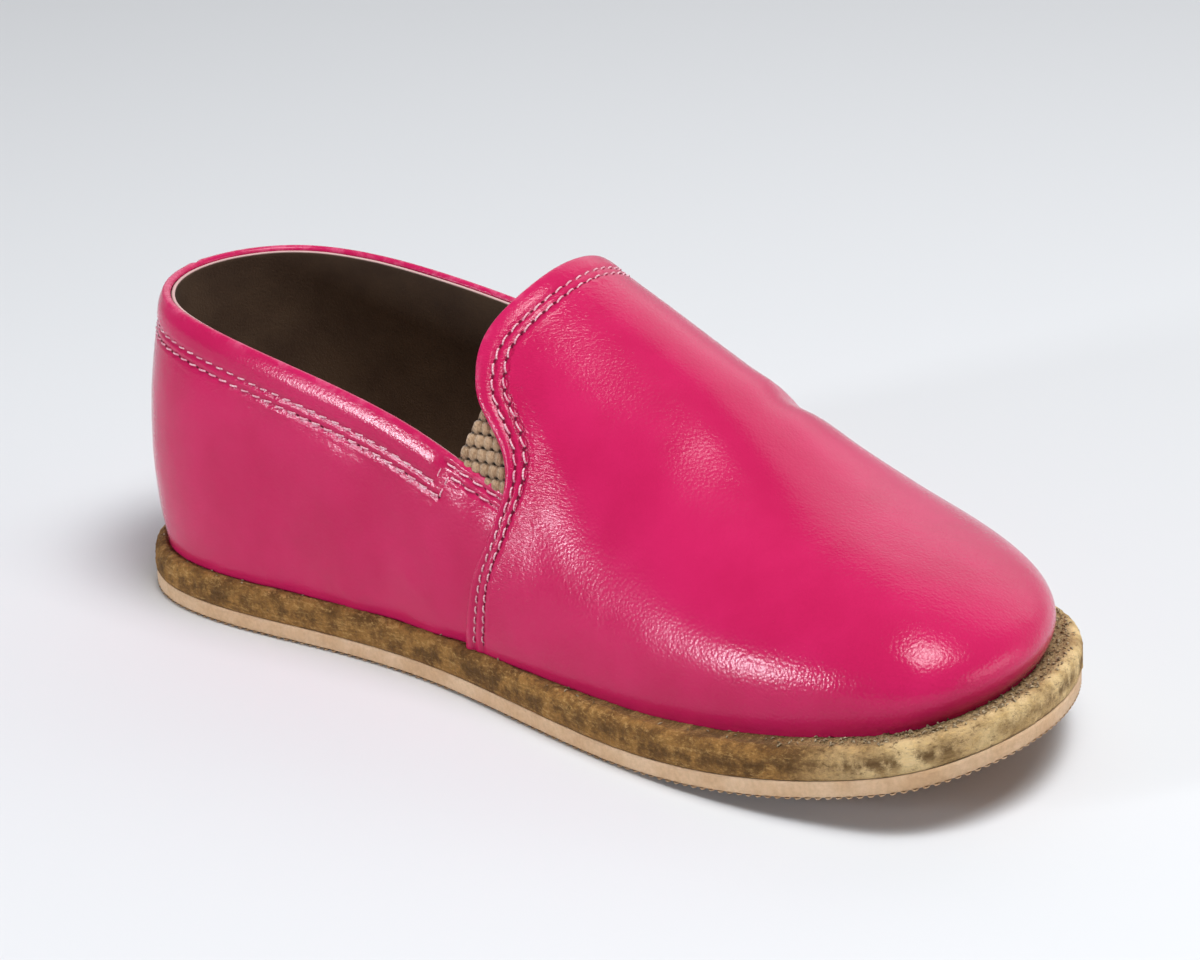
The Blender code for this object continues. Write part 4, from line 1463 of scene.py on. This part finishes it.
def sew(name, face, band, rows, lift_at, material):
    """All stitches of the rows as one mesh: a bent tube for each stitch, and a flat for each hole, painted dark
    as the shade in it.
    """
    points, faces, ply, dive = [], [], [], []
    part, rise = np.transpose(STITCH_ARC)
    tube = quads(grid(len(part), THREAD_SIDES), closed=True)
    tube_dive_shade = np.repeat(smooth(-rise, -0.02, 0.4), THREAD_SIDES)
    tube_ply = np.add.outer(part * STITCH / PLY_PITCH, np.arange(THREAD_SIDES) / THREAD_SIDES).ravel()
    cos, sin = turns_of(THREAD_SIDES)
    hole_cos, hole_sin = turns_of(HOLE_SIDES)
    start = 0
    for j, d in rows:
        for n in range(len(j) - 1):
            skew = rng.normal(0.0, 0.05, 2) + (ASKEW, -ASKEW)
            across = (d[n] + skew[0]) * (1 - part) + (d[n + 1] + skew[1]) * part
            a, b = on_band(band, j[n] + (j[n + 1] - j[n]) * part, across)
            at, normal = face(a, b), slopes(face, a, b)[2]
            line = at + normal * (rise + lift_at(at, across) + rng.normal(0.0, 0.015))[:, None]
            run = unit(np.gradient(line, axis=0))
            side = unit(np.cross(run, normal))
            thick = THREAD * (1 + rng.normal(0.0, 0.05)) * np.where((part < 0.1) | (part > 0.9), 0.85, 1.0)
            wide, flat = THREAD_SHAPE
            ring = side[:, None] * cos * wide + np.cross(side, run)[:, None] * sin * flat
            points.append((line[:, None] + thick[:, None, None] * ring).reshape(-1, 3))
            faces += [[start + i for i in corners] for corners in tube]
            ply.append(tube_ply)
            dive.append(tube_dive_shade)
            start += len(tube_ply)
        a, b = on_band(band, j, d)
        at, normal = face(a, b), slopes(face, a, b)[2]
        middle = at + normal * (lift_at(at, d) - SUNK + HOLE_LIFT)[:, None]
        run = unit(np.gradient(middle, axis=0))
        rim = HOLE[0] * run[:, None] * hole_cos + HOLE[1] * np.cross(run, normal)[:, None] * hole_sin
        points.append((middle[:, None] + rim).reshape(-1, 3))
        faces += grid(len(j), HOLE_SIDES, start).tolist()
        ply.append(np.zeros(len(j) * HOLE_SIDES))
        dive.append(np.ones(len(j) * HOLE_SIDES))
        start += len(j) * HOLE_SIDES
    mesh_piece(name, np.concatenate(points), faces, material, [],
               {"ply": np.concatenate(ply), "dive": np.concatenate(dive)})


def vamp_holes(pick, start):
    """Needle holes of one row of the vamp, which starts and ends some columns from the sole."""
    turns = (start, len(VAMP_RIM) - 1 - start)
    return stitch_path(front_point, VAMP_BAND, turns, lambda j: vamp_rows_at(j)[pick])


def collar_holes(pick, start):
    """Needle holes of one row of the collar, which turns at its corners and ends under the vamp."""
    first, last = np.flatnonzero(under_vamp(QUARTER_LINE) > 0.6)[[0, -1]]
    along = side_view(QUARTER_LINE)[0]
    heel, column = int(np.argmin(along)), np.arange(len(along))
    corners = COLLAR_CORNERS[pick]
    outer = np.interp(corners, along[heel::-1], column[heel::-1])
    inner = np.interp(corners[::-1], along[heel:], column[heel:])
    turns = (first + start, *outer, *inner, last - start)
    return stitch_path(rib_point, QUARTER_WALK, turns, lambda j: collar_rows_at(j)[pick])


def make_stitches():
    material = thread_material()
    sew("vamp_stitches", front_point, VAMP_BAND, [vamp_holes(0, 2.0), vamp_holes(1, 3.6)],
        lambda points, d: LAP * bell(d, LAP_WIDTH) - SETTLED, material)
    sew("collar_stitches", rib_point, QUARTER_WALK, [collar_holes(0, 0.0), collar_holes(1, 1.2)],
        lambda points, d: seat_under_vamp(points) - SETTLED, material)


make_stitches()
